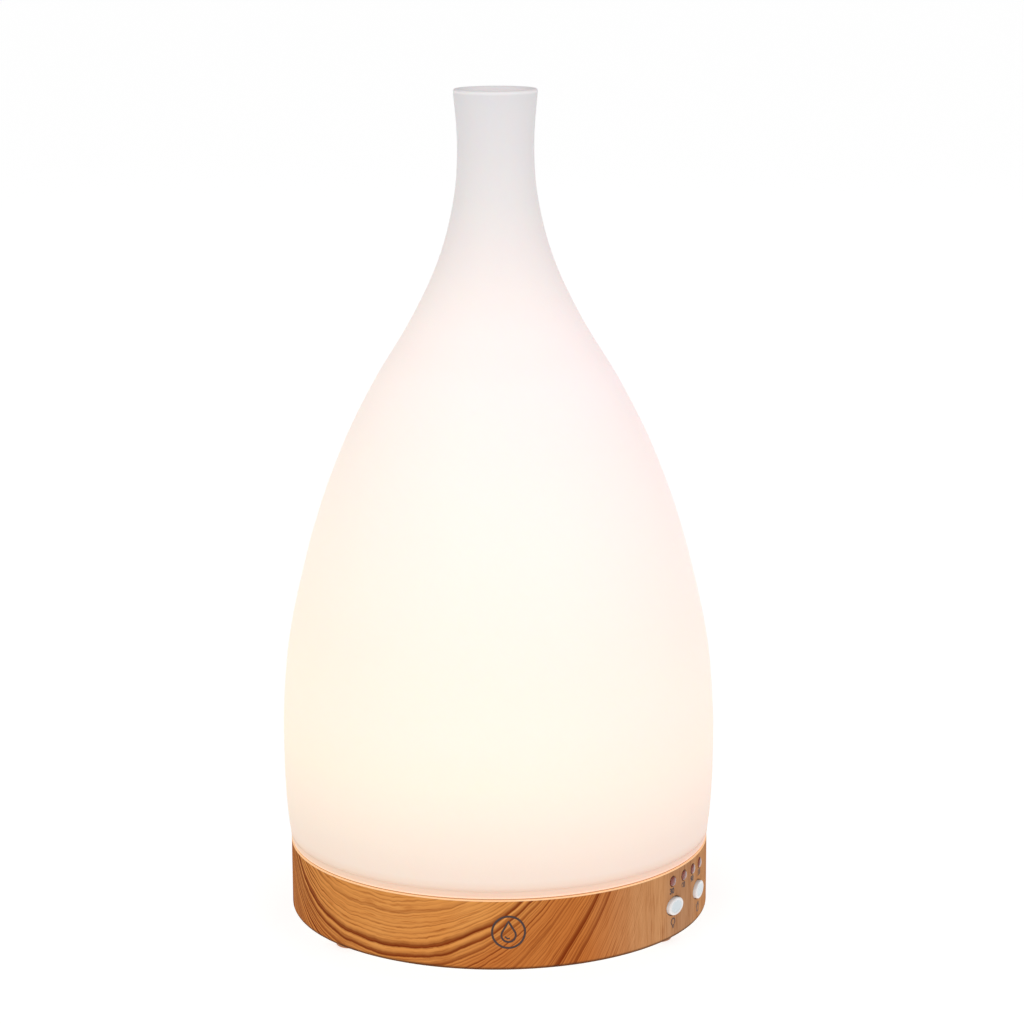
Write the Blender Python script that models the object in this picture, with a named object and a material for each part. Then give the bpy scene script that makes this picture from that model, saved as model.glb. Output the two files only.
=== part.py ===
"""Cool mist humidifier: a frosted glass cover over a water tank, on a round base with the works inside.

Metres, +Z up, the front facing -Y. The origin is under the middle of the feet, on the surface that
the humidifier stands on. Angles called azimuth are seen from above, from the front (-Y) towards +X.
"""

from math import acos, cos, pi, radians, sin, sqrt

import bmesh
import bpy
from mathutils import Matrix, Vector

MM = 0.001

# ---- driving dimensions ----------------------------------------------------------------------

GAP = 0.3 * MM  # between pieces that rest on each other
WALL = 2.0 * MM  # moulded plastic

BASE_RADIUS = 72.5 * MM
BASE_BOTTOM = 2.5 * MM
BASE_TOP = 26.7 * MM
BASE_WALL = 2.6 * MM
BASE_FOOT_FILLET = 2.3 * MM
BASE_TOP_CHAMFER = 0.5 * MM
DECK_THICKNESS = 1.7 * MM
DECK_OPENING = 60.0 * MM

FOOT_RADIUS = 5.0 * MM
FOOT_RING = 64.4 * MM
FOOT_AZIMUTHS = {"front_left": -54, "front_right": 54, "back_left": -126, "back_right": 126}

BOSS_RING = 64.5 * MM
BOSS_RADIUS = 3.2 * MM
BOSS_AZIMUTHS = (20, 110, 200, 290)

# Height above the bottom of the glass, and the radius there.
SHADE_OUTLINE = (
    (0.0, 72.3),
    (10.3, 73.6),
    (25.8, 74.4),
    (46.5, 74.3),
    (69.7, 72.2),
    (92.9, 67.4),
    (116.1, 60.9),
    (139.4, 52.0),
    (160.0, 41.6),
    (180.7, 29.1),
    (201.3, 19.4),
    (222.0, 14.1),
    (240.0, 12.9),
    (258.05, 14.2),
)
SHADE_WALL = 2.4 * MM
SHADE_BOTTOM = BASE_TOP + GAP

TANK_FLOOR = 15.0 * MM
TANK_FLOOR_RADIUS = 40.0 * MM
TANK_TOP = 52.0 * MM
TANK_TOP_RADIUS = 55.0 * MM
TANK_FLANGE_RADIUS = 69.0 * MM
COLLAR_HEIGHT = 4.0 * MM
SNORKEL_Y = 30.0 * MM
SNORKEL_RADIUS = 5.6 * MM
SNORKEL_TOP = 46.0 * MM

PIEZO_RADIUS = 10.0 * MM
PIEZO_SCREW_RING = 14.8 * MM
PIEZO_MIDDLE = TANK_FLOOR - WALL - 1.0 * MM
PIEZO_SCREW_AZIMUTHS = (0, 120, 240)

LID_SHOULDER = 56.0 * MM
LID_CROWN = 74.0 * MM
LID_COLLAR_RADIUS = 12.2 * MM
LID_COLLAR_TOP = 80.0 * MM
CHIMNEY_RADIUS = 9.0 * MM
CHIMNEY_TOP = 104.0 * MM

BUTTON_AZIMUTHS = {"light": 52.2, "mist": 67.2}
BUTTON_HALF_WIDTH = 4.4 * MM
BUTTON_HALF_HEIGHT = 3.0 * MM
BUTTON_FLANGE = 0.9 * MM
BUTTON_HEIGHT = 13.8 * MM  # of the button's middle
BUTTON_PROUD = 1.1 * MM
BUTTON_RISE = 0.5 * MM  # of the dome, out of that
BUTTON_CLEARANCE = 0.35 * MM

LENS_AZIMUTHS = (51.5, 57.4, 63.2, 69.0)
LENS_RADIUS = 1.7 * MM
LENS_HEIGHT = 22.7 * MM
LENS_PROUD = 0.6 * MM

CONTROL_AZIMUTH = 60.2
CONTROL_BOARD_DEPTH = 59.5 * MM  # from the axis to the board's back

FAN_Y = 36.0 * MM
FAN_SIDE = 30.0 * MM
FAN_BOTTOM = 5.0 * MM
FAN_HEIGHT = 6.9 * MM
FAN_BORE = 13.2 * MM
FAN_BLADES = 7

JACK_AZIMUTH = 180.0
JACK_HEIGHT = 13.5 * MM
JACK_BARREL = 4.0 * MM
JACK_SOCKET = 2.75 * MM

BOARD_THICKNESS = 1.6 * MM
LED_RING = 55.8 * MM
LED_COUNT = 6


# ---- helpers ---------------------------------------------------------------------------------


def clear_scene():
    for obj in list(bpy.data.objects):
        bpy.data.objects.remove(obj, do_unlink=True)


def material(name, colour, roughness, metallic=0.0, transmission=0.0):
    made = bpy.data.materials.new(name)
    made.use_nodes = True
    shader = made.node_tree.nodes["Principled BSDF"]
    shader.inputs["Base Color"].default_value = (*colour, 1.0)
    shader.inputs["Roughness"].default_value = roughness
    shader.inputs["Metallic"].default_value = metallic
    shader.inputs["Transmission Weight"].default_value = transmission
    return made


def around(azimuth, radius, height=0.0):
    """The point at this azimuth in degrees, this far from the axis."""
    turn = radians(azimuth)
    return Vector((radius * sin(turn), -radius * cos(turn), height))


def finish(name, bm, surface, location=(0, 0, 0), rotation=(0, 0, 0)):
    """Makes a named object of a bmesh whose faces still need to point out."""
    bmesh.ops.recalc_face_normals(bm, faces=bm.faces)
    mesh = bpy.data.meshes.new(name)
    bm.to_mesh(mesh)
    bm.free()
    mesh.shade_smooth()
    mesh.set_sharp_from_angle(angle=radians(35))
    if surface:
        mesh.materials.append(surface)
    obj = bpy.data.objects.new(name, mesh)
    obj.location = location
    obj.rotation_euler = rotation
    bpy.context.scene.collection.objects.link(obj)
    return obj


def turned(name, outline, surface, steps=32, **place):
    """A closed outline of (radius, height) points turned round Z."""
    bm = bmesh.new()
    corners = [bm.verts.new((radius, 0, height)) for radius, height in outline]
    edges = [bm.edges.new(pair) for pair in zip(corners, corners[1:] + corners[:1])]
    bmesh.ops.spin(
        bm,
        geom=corners + edges,
        cent=(0, 0, 0),
        axis=(0, 0, 1),
        angle=2 * pi,
        steps=steps,
        use_merge=True,
    )
    bmesh.ops.remove_doubles(bm, verts=bm.verts, dist=1e-7)
    bmesh.ops.dissolve_degenerate(bm, edges=bm.edges, dist=1e-7)
    return finish(name, bm, surface, **place)


def rod(name, radius, low, high, surface, steps=16, **place):
    """A plain round bar between two heights."""
    bm = bmesh.new()
    bmesh.ops.create_cone(
        bm,
        cap_ends=True,
        segments=steps,
        radius1=radius,
        radius2=radius,
        depth=high - low,
    )
    bmesh.ops.translate(bm, verts=bm.verts, vec=(0, 0, (low + high) / 2))
    return finish(name, bm, surface, **place)


def tube(name, outer, inner, low, high, surface, steps=24, **place):
    outline = [(outer, high), (outer, low), (inner, low), (inner, high)]
    return turned(name, outline, surface, steps, **place)


def block(name, size, surface, bevel=0.0, **place):
    """A box of this size about its own middle, its upright edges rounded where bevel isn't 0."""
    bm = bmesh.new()
    bmesh.ops.create_cube(bm, size=1.0)
    bmesh.ops.scale(bm, verts=bm.verts, vec=size)
    if bevel:
        upright = [e for e in bm.edges if abs(e.verts[0].co.z - e.verts[1].co.z) > size[2] / 2]
        bmesh.ops.bevel(bm, geom=upright, offset=bevel, segments=3, affect="EDGES")
    return finish(name, bm, surface, **place)


def boolean(target, other, operation):
    """Cuts from the target, or adds to it, a helper that isn't a piece itself."""
    other.hide_render = True
    other.display_type = "WIRE"
    modifier = target.modifiers.new(other.name, "BOOLEAN")
    modifier.operation = operation
    modifier.object = other
    modifier.solver = "EXACT"


def cut(target, other):
    boolean(target, other, "DIFFERENCE")


def add(target, other):
    boolean(target, other, "UNION")


def outward(azimuth):
    """The rotation that points a piece's own +Z away from the axis, with its +Y up."""
    return (pi / 2, 0, radians(azimuth))


def widened(piece, factor):
    """Stretches a turned piece along its own X, which makes its circles ovals."""
    piece.data.transform(Matrix.Diagonal((factor, 1, 1, 1)))


def arc(centre_r, centre_z, radius, start, end, steps):
    """Points of (radius, height) on a circle, from one angle to another in degrees."""
    points = []
    for i in range(steps + 1):
        angle = radians(start + (end - start) * i / steps)
        points.append((centre_r + radius * cos(angle), centre_z + radius * sin(angle)))
    return points


def smooth_through(stations, count):
    """Points at even steps of height on a cubic curve through (height, radius) stations."""
    slopes = []
    for i in range(len(stations)):
        low = stations[max(i - 1, 0)]
        high = stations[min(i + 1, len(stations) - 1)]
        slopes.append((high[1] - low[1]) / (high[0] - low[0]))
    points = []
    k = 0
    for i in range(count + 1):
        z = stations[0][0] + (stations[-1][0] - stations[0][0]) * i / count
        while k < len(stations) - 2 and z > stations[k + 1][0]:
            k += 1
        (z0, r0), (z1, r1) = stations[k], stations[k + 1]
        span = z1 - z0
        t = (z - z0) / span
        radius = (
            (2 * t**3 - 3 * t**2 + 1) * r0
            + (t**3 - 2 * t**2 + t) * span * slopes[k]
            + (3 * t**2 - 2 * t**3) * r1
            + (t**3 - t**2) * span * slopes[k + 1]
        )
        points.append((radius, z))
    return points


# ---- base ------------------------------------------------------------------------------------


def base_housing(wood):
    """The drum of the base: its wall, the deck on top, screw posts inside, and the holes in its wall."""
    inner = BASE_RADIUS - BASE_WALL
    fillet = BASE_FOOT_FILLET
    outline = [
        (DECK_OPENING, BASE_TOP),
        (BASE_RADIUS - BASE_TOP_CHAMFER, BASE_TOP),
        (BASE_RADIUS, BASE_TOP - BASE_TOP_CHAMFER),
    ]
    outline += arc(BASE_RADIUS - fillet, BASE_BOTTOM + fillet, fillet, 0, -90, 4)
    outline += [
        (inner, BASE_BOTTOM),
        (inner, BASE_TOP - DECK_THICKNESS),
        (DECK_OPENING, BASE_TOP - DECK_THICKNESS),
    ]
    housing = turned("base_housing", outline, wood, steps=48)
    for azimuth in BOSS_AZIMUTHS:
        foot = BASE_BOTTOM + WALL + 2 * GAP
        post = rod(
            f"post_{azimuth}",
            BOSS_RADIUS,
            foot,
            BASE_TOP - DECK_THICKNESS / 2,
            None,
            steps=12,
            location=around(azimuth, BOSS_RING),
        )
        add(housing, post)
        pilot = rod(
            f"pilot_{azimuth}",
            1.25 * MM,
            foot - 1 * MM,
            foot + 9 * MM,
            None,
            steps=10,
            location=around(azimuth, BOSS_RING),
        )
        cut(housing, pilot)
    half_width = BUTTON_HALF_WIDTH + BUTTON_CLEARANCE
    half_height = BUTTON_HALF_HEIGHT + BUTTON_CLEARANCE
    for name, azimuth in BUTTON_AZIMUTHS.items():
        hole = wall_hole(housing, f"{name}_hole", azimuth, BUTTON_HEIGHT, half_height)
        widened(hole, half_width / half_height)
    for i, azimuth in enumerate(LENS_AZIMUTHS, 1):
        wall_hole(housing, f"lens_hole_{i}", azimuth, LENS_HEIGHT, LENS_RADIUS + 0.2 * MM)
    wall_hole(housing, "jack_hole", JACK_AZIMUTH, JACK_HEIGHT, JACK_BARREL + 0.35 * MM)
    return housing


def wall_hole(housing, name, azimuth, height, radius):
    reach = 5 * MM
    hole = rod(
        name,
        radius,
        -reach,
        reach,
        None,
        steps=20,
        location=around(azimuth, BASE_RADIUS, height),
        rotation=outward(azimuth),
    )
    cut(housing, hole)
    return hole


def bottom_cover(plastic):
    """The plate that closes the base, with the fan's air slots and the screws' counterbores."""
    radius = BASE_RADIUS - BASE_WALL - GAP
    low = BASE_BOTTOM + 0.2 * MM
    outline = [(0, low + WALL), (radius, low + WALL), (radius, low), (0, low)]
    cover = turned("bottom_cover", outline, plastic, steps=48)
    slot_pitch = 4.4 * MM
    for i in range(-2, 3):
        y = FAN_Y + i * slot_pitch
        half = sqrt((10.5 * MM) ** 2 - (i * slot_pitch) ** 2)
        slot = block(
            f"air_slot_{i + 3}",
            (2 * half, 2.2 * MM, 4 * WALL),
            None,
            bevel=1.0 * MM,
            location=(0, y, low),
        )
        cut(cover, slot)
    for azimuth in BOSS_AZIMUTHS:
        spot = around(azimuth, BOSS_RING)
        hole = rod(f"screw_hole_{azimuth}", 1.5 * MM, 0, 3 * WALL, None, steps=12, location=spot)
        cut(cover, hole)
        counterbore = rod(
            f"counterbore_{azimuth}", 3.0 * MM, 0, low + 1.1 * MM, None, steps=14, location=spot
        )
        cut(cover, counterbore)
    return cover


def screw(name, head_radius, shank_radius, head_low, head_high, top, surface, spot):
    """A pan-head screw that points up, its head between the first two heights."""
    outline = [
        (0, top),
        (shank_radius, top - 0.6 * MM),
        (shank_radius, head_high),
        (head_radius, head_high),
        (head_radius, head_low + 0.3 * MM),
        (head_radius - 0.3 * MM, head_low),
        (0, head_low),
    ]
    return turned(name, outline, surface, steps=12, location=spot)


def cover_screws(steel):
    head_low = BASE_BOTTOM + 0.3 * MM
    for i, azimuth in enumerate(BOSS_AZIMUTHS, 1):
        spot = around(azimuth, BOSS_RING)
        head_high = head_low + 0.8 * MM
        screw(f"cover_screw_{i}", 2.6 * MM, 1.0 * MM, head_low, head_high, 12 * MM, steel, spot)


def feet(rubber):
    top = BASE_BOTTOM
    for name, azimuth in FOOT_AZIMUTHS.items():
        outline = [(0, top), (FOOT_RADIUS, top), (FOOT_RADIUS, 0.6 * MM)]
        outline += [(FOOT_RADIUS - 0.6 * MM, 0), (0, 0)]
        turned(f"foot_{name}", outline, rubber, steps=20, location=around(azimuth, FOOT_RING))


# ---- glass cover -----------------------------------------------------------------------------


def glass_shade(glass):
    """The bottle-shaped glass cover, a shell with a rounded lip at its mouth and at its foot."""
    outer = smooth_through([(z * MM, r * MM) for z, r in SHADE_OUTLINE], 19)
    outer = [Vector((r, z)) for r, z in outer]
    inner = []
    for i, point in enumerate(outer):
        along = (outer[min(i + 1, len(outer) - 1)] - outer[max(i - 1, 0)]).normalized()
        inner.append(point + SHADE_WALL * Vector((-along.y, along.x)))
    lip = 0.8 * MM
    foot_out, foot_in, rim_out, rim_in = outer[0], inner[0], outer[-1], inner[-1]
    outline = [(p.x, p.y) for p in outer[1:-1]]
    outline += [
        (rim_out.x, rim_out.y - lip),
        (rim_out.x - lip, rim_out.y),
        (rim_in.x + lip, rim_out.y),
        (rim_in.x, rim_out.y - lip),
    ]
    outline += [(p.x, p.y) for p in reversed(inner[1:-1])]
    outline += [
        (foot_in.x, foot_out.y + lip),
        (foot_in.x + lip, foot_out.y),
        (foot_out.x - lip, foot_out.y),
        (foot_out.x, foot_out.y + lip),
    ]
    return turned("glass_shade", outline, glass, steps=36, location=(0, 0, SHADE_BOTTOM))


# ---- tank and lid ----------------------------------------------------------------------------


def water_tank(plastic):
    """The tank: a bowl that hangs in the deck on a flange, with the air snorkel standing in it."""
    low = TANK_FLOOR - WALL
    deck = BASE_TOP + GAP
    neck = TANK_TOP_RADIUS - 5.0 * MM
    outline = [
        (TANK_TOP_RADIUS, TANK_TOP),
        (TANK_TOP_RADIUS - 1.5 * MM, deck + WALL),
        (TANK_FLANGE_RADIUS - WALL, deck + WALL),
        (TANK_FLANGE_RADIUS - WALL, deck + WALL + COLLAR_HEIGHT),
        (TANK_FLANGE_RADIUS, deck + WALL + COLLAR_HEIGHT),
        (TANK_FLANGE_RADIUS, deck),
        (neck, deck),
        (TANK_FLOOR_RADIUS + WALL, low + 3 * MM),
        (TANK_FLOOR_RADIUS - 1.5 * MM, low),
        (8.5 * MM, low),
        (8.5 * MM, TANK_FLOOR),
        (TANK_FLOOR_RADIUS - 3 * MM, TANK_FLOOR),
        (TANK_FLOOR_RADIUS, TANK_FLOOR + 2.5 * MM),
        (neck - WALL, deck),
        (TANK_TOP_RADIUS - 1.5 * MM - WALL, deck + WALL + 1.5 * MM),
        (TANK_TOP_RADIUS - WALL, TANK_TOP),
    ]
    tank = turned("water_tank", outline, plastic, steps=40)
    snorkel = rod(
        "snorkel",
        SNORKEL_RADIUS,
        TANK_FLOOR - WALL / 2,
        SNORKEL_TOP,
        None,
        steps=16,
        location=(0, SNORKEL_Y, 0),
    )
    add(tank, snorkel)
    bore = rod(
        "snorkel_bore",
        SNORKEL_RADIUS - 1.2 * MM,
        low - 2 * MM,
        SNORKEL_TOP + 2 * MM,
        None,
        steps=16,
        location=(0, SNORKEL_Y, 0),
    )
    cut(tank, bore)
    for i, azimuth in enumerate(PIEZO_SCREW_AZIMUTHS, 1):
        spot = around(azimuth, PIEZO_SCREW_RING)
        boss_low, boss_high = low - 1.7 * MM, low + WALL / 2
        add(tank, rod(f"tank_boss_{i}", 2.4 * MM, boss_low, boss_high, None, 12, location=spot))
        pilot = rod(f"tank_pilot_{i}", 1.0 * MM, low - 3 * MM, low - 0.1 * MM, None, 8, location=spot)
        cut(tank, pilot)
    return tank


def tank_gasket(rubber):
    """The ring under the tank's flange that keeps spilt water out of the base, in the deck's opening."""
    top = BASE_TOP + GAP / 2
    outline = [
        (DECK_OPENING - GAP, top),
        (DECK_OPENING - GAP, top - 1.6 * MM),
        (DECK_OPENING - 2.4 * MM, top - 1.6 * MM),
        (DECK_OPENING - 2.4 * MM, top),
    ]
    turned("tank_gasket", outline, rubber, steps=48)


def reservoir_lid(plastic):
    """The dome that closes the tank, with a skirt round its rim and a collar for the chimney."""
    skirt_out = TANK_TOP_RADIUS + 2.4 * MM
    skirt_in = TANK_TOP_RADIUS + 0.8 * MM
    seat = TANK_TOP + GAP
    collar_in = CHIMNEY_RADIUS + GAP
    outline = [
        (LID_COLLAR_RADIUS, LID_COLLAR_TOP),
        (LID_COLLAR_RADIUS, LID_CROWN),
        (30 * MM, LID_CROWN - 3.6 * MM),
        (44 * MM, LID_CROWN - 8.8 * MM),
        (skirt_out - 2 * MM, LID_SHOULDER + 3 * MM),
        (skirt_out, LID_SHOULDER),
        (skirt_out, TANK_TOP - 4 * MM),
        (skirt_in, TANK_TOP - 4 * MM),
        (skirt_in, seat),
        (TANK_TOP_RADIUS - WALL, seat),
        (TANK_TOP_RADIUS - WALL - 1 * MM, LID_SHOULDER),
        (44 * MM, LID_CROWN - 11 * MM),
        (30 * MM, LID_CROWN - 5.6 * MM),
        (collar_in, LID_CROWN - 2 * MM),
        (collar_in, LID_COLLAR_TOP),
    ]
    return turned("reservoir_lid", outline, plastic, steps=40)


def mist_chimney(plastic, lid):
    """The tube that leads the mist up towards the mouth of the glass."""
    bore = CHIMNEY_RADIUS - 1.6 * MM
    flange_low = LID_COLLAR_TOP + GAP
    outline = [
        (CHIMNEY_RADIUS - 0.8 * MM, CHIMNEY_TOP),
        (CHIMNEY_RADIUS, flange_low + 1.5 * MM),
        (LID_COLLAR_RADIUS - 0.5 * MM, flange_low + 1.5 * MM),
        (LID_COLLAR_RADIUS - 0.5 * MM, flange_low),
        (CHIMNEY_RADIUS, flange_low),
        (CHIMNEY_RADIUS, LID_CROWN - 1 * MM),
        (bore, LID_CROWN - 1 * MM),
        (bore, CHIMNEY_TOP),
    ]
    chimney = turned("mist_chimney", outline, plastic, steps=24)
    chimney.parent = lid


# ---- mist maker ------------------------------------------------------------------------------


def mist_maker(ceramic, silicone, plate_steel, steel):
    """The ultrasonic disc in its grooved seal, held up under the tank's floor by a plate."""
    seal_top = TANK_FLOOR - WALL - 0.2 * MM
    seal_low = seal_top - 1.6 * MM
    groove = 0.3 * MM
    outline = [
        (PIEZO_RADIUS + 1.9 * MM, seal_top),
        (PIEZO_RADIUS + 1.9 * MM, seal_low),
        (PIEZO_RADIUS - 1.8 * MM, seal_low),
        (PIEZO_RADIUS - 1.8 * MM, PIEZO_MIDDLE - groove),
        (PIEZO_RADIUS + 0.3 * MM, PIEZO_MIDDLE - groove),
        (PIEZO_RADIUS + 0.3 * MM, PIEZO_MIDDLE + groove),
        (PIEZO_RADIUS - 1.8 * MM, PIEZO_MIDDLE + groove),
        (PIEZO_RADIUS - 1.8 * MM, seal_top),
    ]
    turned("piezo_seal", outline, silicone, steps=24)
    half = 0.15 * MM
    rod("piezo_disc", PIEZO_RADIUS, PIEZO_MIDDLE - half, PIEZO_MIDDLE + half, ceramic, steps=24)
    plate_top = seal_low - 0.2 * MM
    plate_low = plate_top - 1.0 * MM
    plate = tube(
        "piezo_retainer", PIEZO_SCREW_RING + 2.4 * MM, 7.5 * MM, plate_low, plate_top, plate_steel
    )
    for i, azimuth in enumerate(PIEZO_SCREW_AZIMUTHS, 1):
        spot = around(azimuth, PIEZO_SCREW_RING)
        cut(plate, rod(f"retainer_hole_{i}", 1.2 * MM, 0, TANK_FLOOR, None, 10, location=spot))
        screw(
            f"retainer_screw_{i}",
            1.8 * MM,
            0.75 * MM,
            plate_low - 1.2 * MM,
            plate_low - 0.2 * MM,
            TANK_FLOOR - WALL - 0.4 * MM,
            steel,
            spot,
        )


# ---- fan -------------------------------------------------------------------------------------


def fan(black, coil, steel, silicone):
    """The small blower that pushes air up the snorkel, drawing it through the slots below."""
    middle = (0, FAN_Y, 0)
    top = FAN_BOTTOM + FAN_HEIGHT
    housing = block(
        "fan_housing",
        (FAN_SIDE, FAN_SIDE, FAN_HEIGHT),
        black,
        bevel=2 * MM,
        location=(0, FAN_Y, FAN_BOTTOM + FAN_HEIGHT / 2),
    )
    cut(housing, rod("fan_bore", FAN_BORE, 0, top - 1 * MM, None, 32, location=middle))
    outlet = (0, SNORKEL_Y, 0)
    outlet_radius = SNORKEL_RADIUS - 1 * MM
    cut(housing, rod("fan_outlet", outlet_radius, top - 2 * MM, top + MM, None, 16, location=outlet))
    tube(
        "fan_seal",
        SNORKEL_RADIUS + 1.6 * MM,
        SNORKEL_RADIUS - 0.8 * MM,
        top + 0.2 * MM,
        TANK_FLOOR - WALL - 0.2 * MM,
        silicone,
        steps=20,
        location=outlet,
    )
    stator_low = FAN_BOTTOM + 2.2 * MM
    stator_high = top - 1.2 * MM
    tube("fan_stator", 4.4 * MM, 0.95 * MM, stator_low, stator_high, coil, steps=16, location=middle)
    hub = 6.2 * MM
    cup_low = FAN_BOTTOM + 0.8 * MM
    cup_high = top - 2.0 * MM
    outline = [
        (hub, cup_high),
        (hub, cup_low),
        (0, cup_low),
        (0, cup_low + 0.9 * MM),
        (hub - 1.1 * MM, cup_low + 0.9 * MM),
        (hub - 1.1 * MM, cup_high),
    ]
    rotor = turned("fan_rotor", outline, black, steps=24, location=middle)
    blade_height = (cup_high - cup_low) * 0.8
    blade_length = FAN_BORE - hub - 0.2 * MM
    for i in range(FAN_BLADES):
        azimuth = 360 * i / FAN_BLADES
        blade = block(
            f"fan_blade_{i + 1}",
            (0.8 * MM, blade_length, blade_height),
            None,
            location=around(azimuth, hub + blade_length / 2 - 0.5 * MM)
            + Vector((0, FAN_Y, (cup_low + cup_high) / 2)),
            rotation=(0, radians(28), radians(azimuth)),
        )
        add(rotor, blade)
    shaft = rod("fan_shaft", 0.6 * MM, cup_low + 1.1 * MM, top - 1.5 * MM, steel, steps=10)
    shaft.parent = rotor


# ---- electronics -----------------------------------------------------------------------------


def drive_board(green, ferrite, sleeve, alloy, black):
    """The board that drives the ultrasonic disc, with its coil, capacitors, transistor and heat sink."""
    low = 7.0 * MM
    middle = (-41 * MM, 2 * MM, low + BOARD_THICKNESS / 2)
    block("drive_board", (38 * MM, 30 * MM, BOARD_THICKNESS), green, location=middle)
    on_board = low + BOARD_THICKNESS + 0.2 * MM
    coil = [
        (3.6 * MM, on_board + 6 * MM),
        (3.6 * MM, on_board + 5 * MM),
        (2.6 * MM, on_board + 4.6 * MM),
        (2.6 * MM, on_board + 1.4 * MM),
        (3.6 * MM, on_board + 1 * MM),
        (3.6 * MM, on_board),
        (0, on_board),
        (0, on_board + 6 * MM),
    ]
    turned("drive_coil", coil, ferrite, steps=16, location=(-55 * MM, -6 * MM, 0))
    for i, y in enumerate((3 * MM, 11 * MM), 1):
        spot = (-56 * MM, y, 0)
        rod(f"capacitor_{i}", 2.5 * MM, on_board, on_board + 9 * MM, sleeve, 14, location=spot)
    sink_x, sink_y, sink_height = -33 * MM, 7 * MM, 3.2 * MM
    place = (sink_x, sink_y, on_board + sink_height / 2)
    sink = block("heat_sink", (12 * MM, 9 * MM, sink_height), alloy, location=place)
    fin_pitch, fin_root = 2.8 * MM, 1.4 * MM
    for i in range(4):
        place = (sink_x + (i - 1.5) * fin_pitch, sink_y, on_board + fin_root + 1.2 * MM)
        cut(sink, block(f"fin_gap_{i + 1}", (1.6 * MM, 10 * MM, 2.4 * MM), None, location=place))
    place = (sink_x, -6 * MM, on_board + 1 * MM)
    block("drive_transistor", (6 * MM, 8 * MM, 2 * MM), black, location=place)


def control_board(green, black, emitter):
    """The upright board behind the buttons, with the two tact switches and the timer's four LEDs."""
    thickness = BOARD_THICKNESS
    low, high = 6.5 * MM, 24.4 * MM
    block(
        "control_board",
        (29 * MM, high - low, thickness),
        green,
        location=around(CONTROL_AZIMUTH, CONTROL_BOARD_DEPTH + thickness / 2, (low + high) / 2),
        rotation=outward(CONTROL_AZIMUTH),
    )
    front = CONTROL_BOARD_DEPTH + thickness + 1.7 * MM
    for name, azimuth in BUTTON_AZIMUTHS.items():
        block(
            f"{name}_switch_body",
            (6 * MM, 6 * MM, 3 * MM),
            black,
            location=around(azimuth, front + 1.5 * MM, BUTTON_HEIGHT),
            rotation=outward(azimuth),
        )
    for i, azimuth in enumerate(LENS_AZIMUTHS, 1):
        block(
            f"timer_led_{i}",
            (2.0 * MM, 1.6 * MM, 0.9 * MM),
            emitter,
            location=around(azimuth, front + 0.5 * MM, LENS_HEIGHT),
            rotation=outward(azimuth),
        )


def buttons(white, black):
    """Two oval push buttons, gently domed, each with the stem that presses its switch."""
    flange = BASE_RADIUS - BASE_WALL - 0.6 * MM
    dome = (BUTTON_HALF_HEIGHT**2 + BUTTON_RISE**2) / (2 * BUTTON_RISE)
    half_angle = acos((dome - BUTTON_RISE) / dome)
    for name, azimuth in BUTTON_AZIMUTHS.items():
        outline = []
        for i in range(5):
            angle = half_angle * i / 4
            height = BUTTON_PROUD - dome + dome * cos(angle)
            outline.append((dome * sin(angle), height))
        back = flange - BASE_RADIUS - 0.9 * MM
        outline += [
            (BUTTON_HALF_HEIGHT, flange - BASE_RADIUS),
            (BUTTON_HALF_HEIGHT + BUTTON_FLANGE, flange - BASE_RADIUS),
            (BUTTON_HALF_HEIGHT + BUTTON_FLANGE, back),
            (0, back),
        ]
        cap = turned(
            f"{name}_button",
            outline,
            white,
            steps=24,
            location=around(azimuth, BASE_RADIUS, BUTTON_HEIGHT),
            rotation=outward(azimuth),
        )
        widened(cap, BUTTON_HALF_WIDTH / BUTTON_HALF_HEIGHT)
        stem_out = back - 0.2 * MM
        stem = rod(f"{name}_switch_stem", 1.5 * MM, stem_out - 1.6 * MM, stem_out, black, steps=12)
        stem.parent = cap


def indicator_lenses(amber):
    for i, azimuth in enumerate(LENS_AZIMUTHS, 1):
        outline = [
            (0, LENS_PROUD),
            (LENS_RADIUS * 0.55, LENS_PROUD * 0.85),
            (LENS_RADIUS * 0.9, LENS_PROUD * 0.35),
            (LENS_RADIUS, -0.2 * MM),
            (LENS_RADIUS, -BASE_WALL - 1.0 * MM),
            (0, -BASE_WALL - 1.0 * MM),
        ]
        turned(
            f"indicator_lens_{i}",
            outline,
            amber,
            steps=16,
            location=around(azimuth, BASE_RADIUS, LENS_HEIGHT),
            rotation=outward(azimuth),
        )


def mood_light(white_board, emitter):
    """The ring of LEDs under the tank's flange that lights the glass."""
    low = 20.8 * MM
    half_width = 2.9 * MM
    outer, inner = LED_RING + half_width, LED_RING - half_width
    tube("led_ring_board", outer, inner, low, low + 1.2 * MM, white_board, 48)
    for i in range(LED_COUNT):
        azimuth = 30 + 360 * i / LED_COUNT
        block(
            f"mood_led_{i + 1}",
            (3.5 * MM, 3.5 * MM, 1.2 * MM),
            emitter,
            location=around(azimuth, LED_RING, low + 2.0 * MM),
            rotation=(0, 0, radians(azimuth)),
        )


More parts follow.
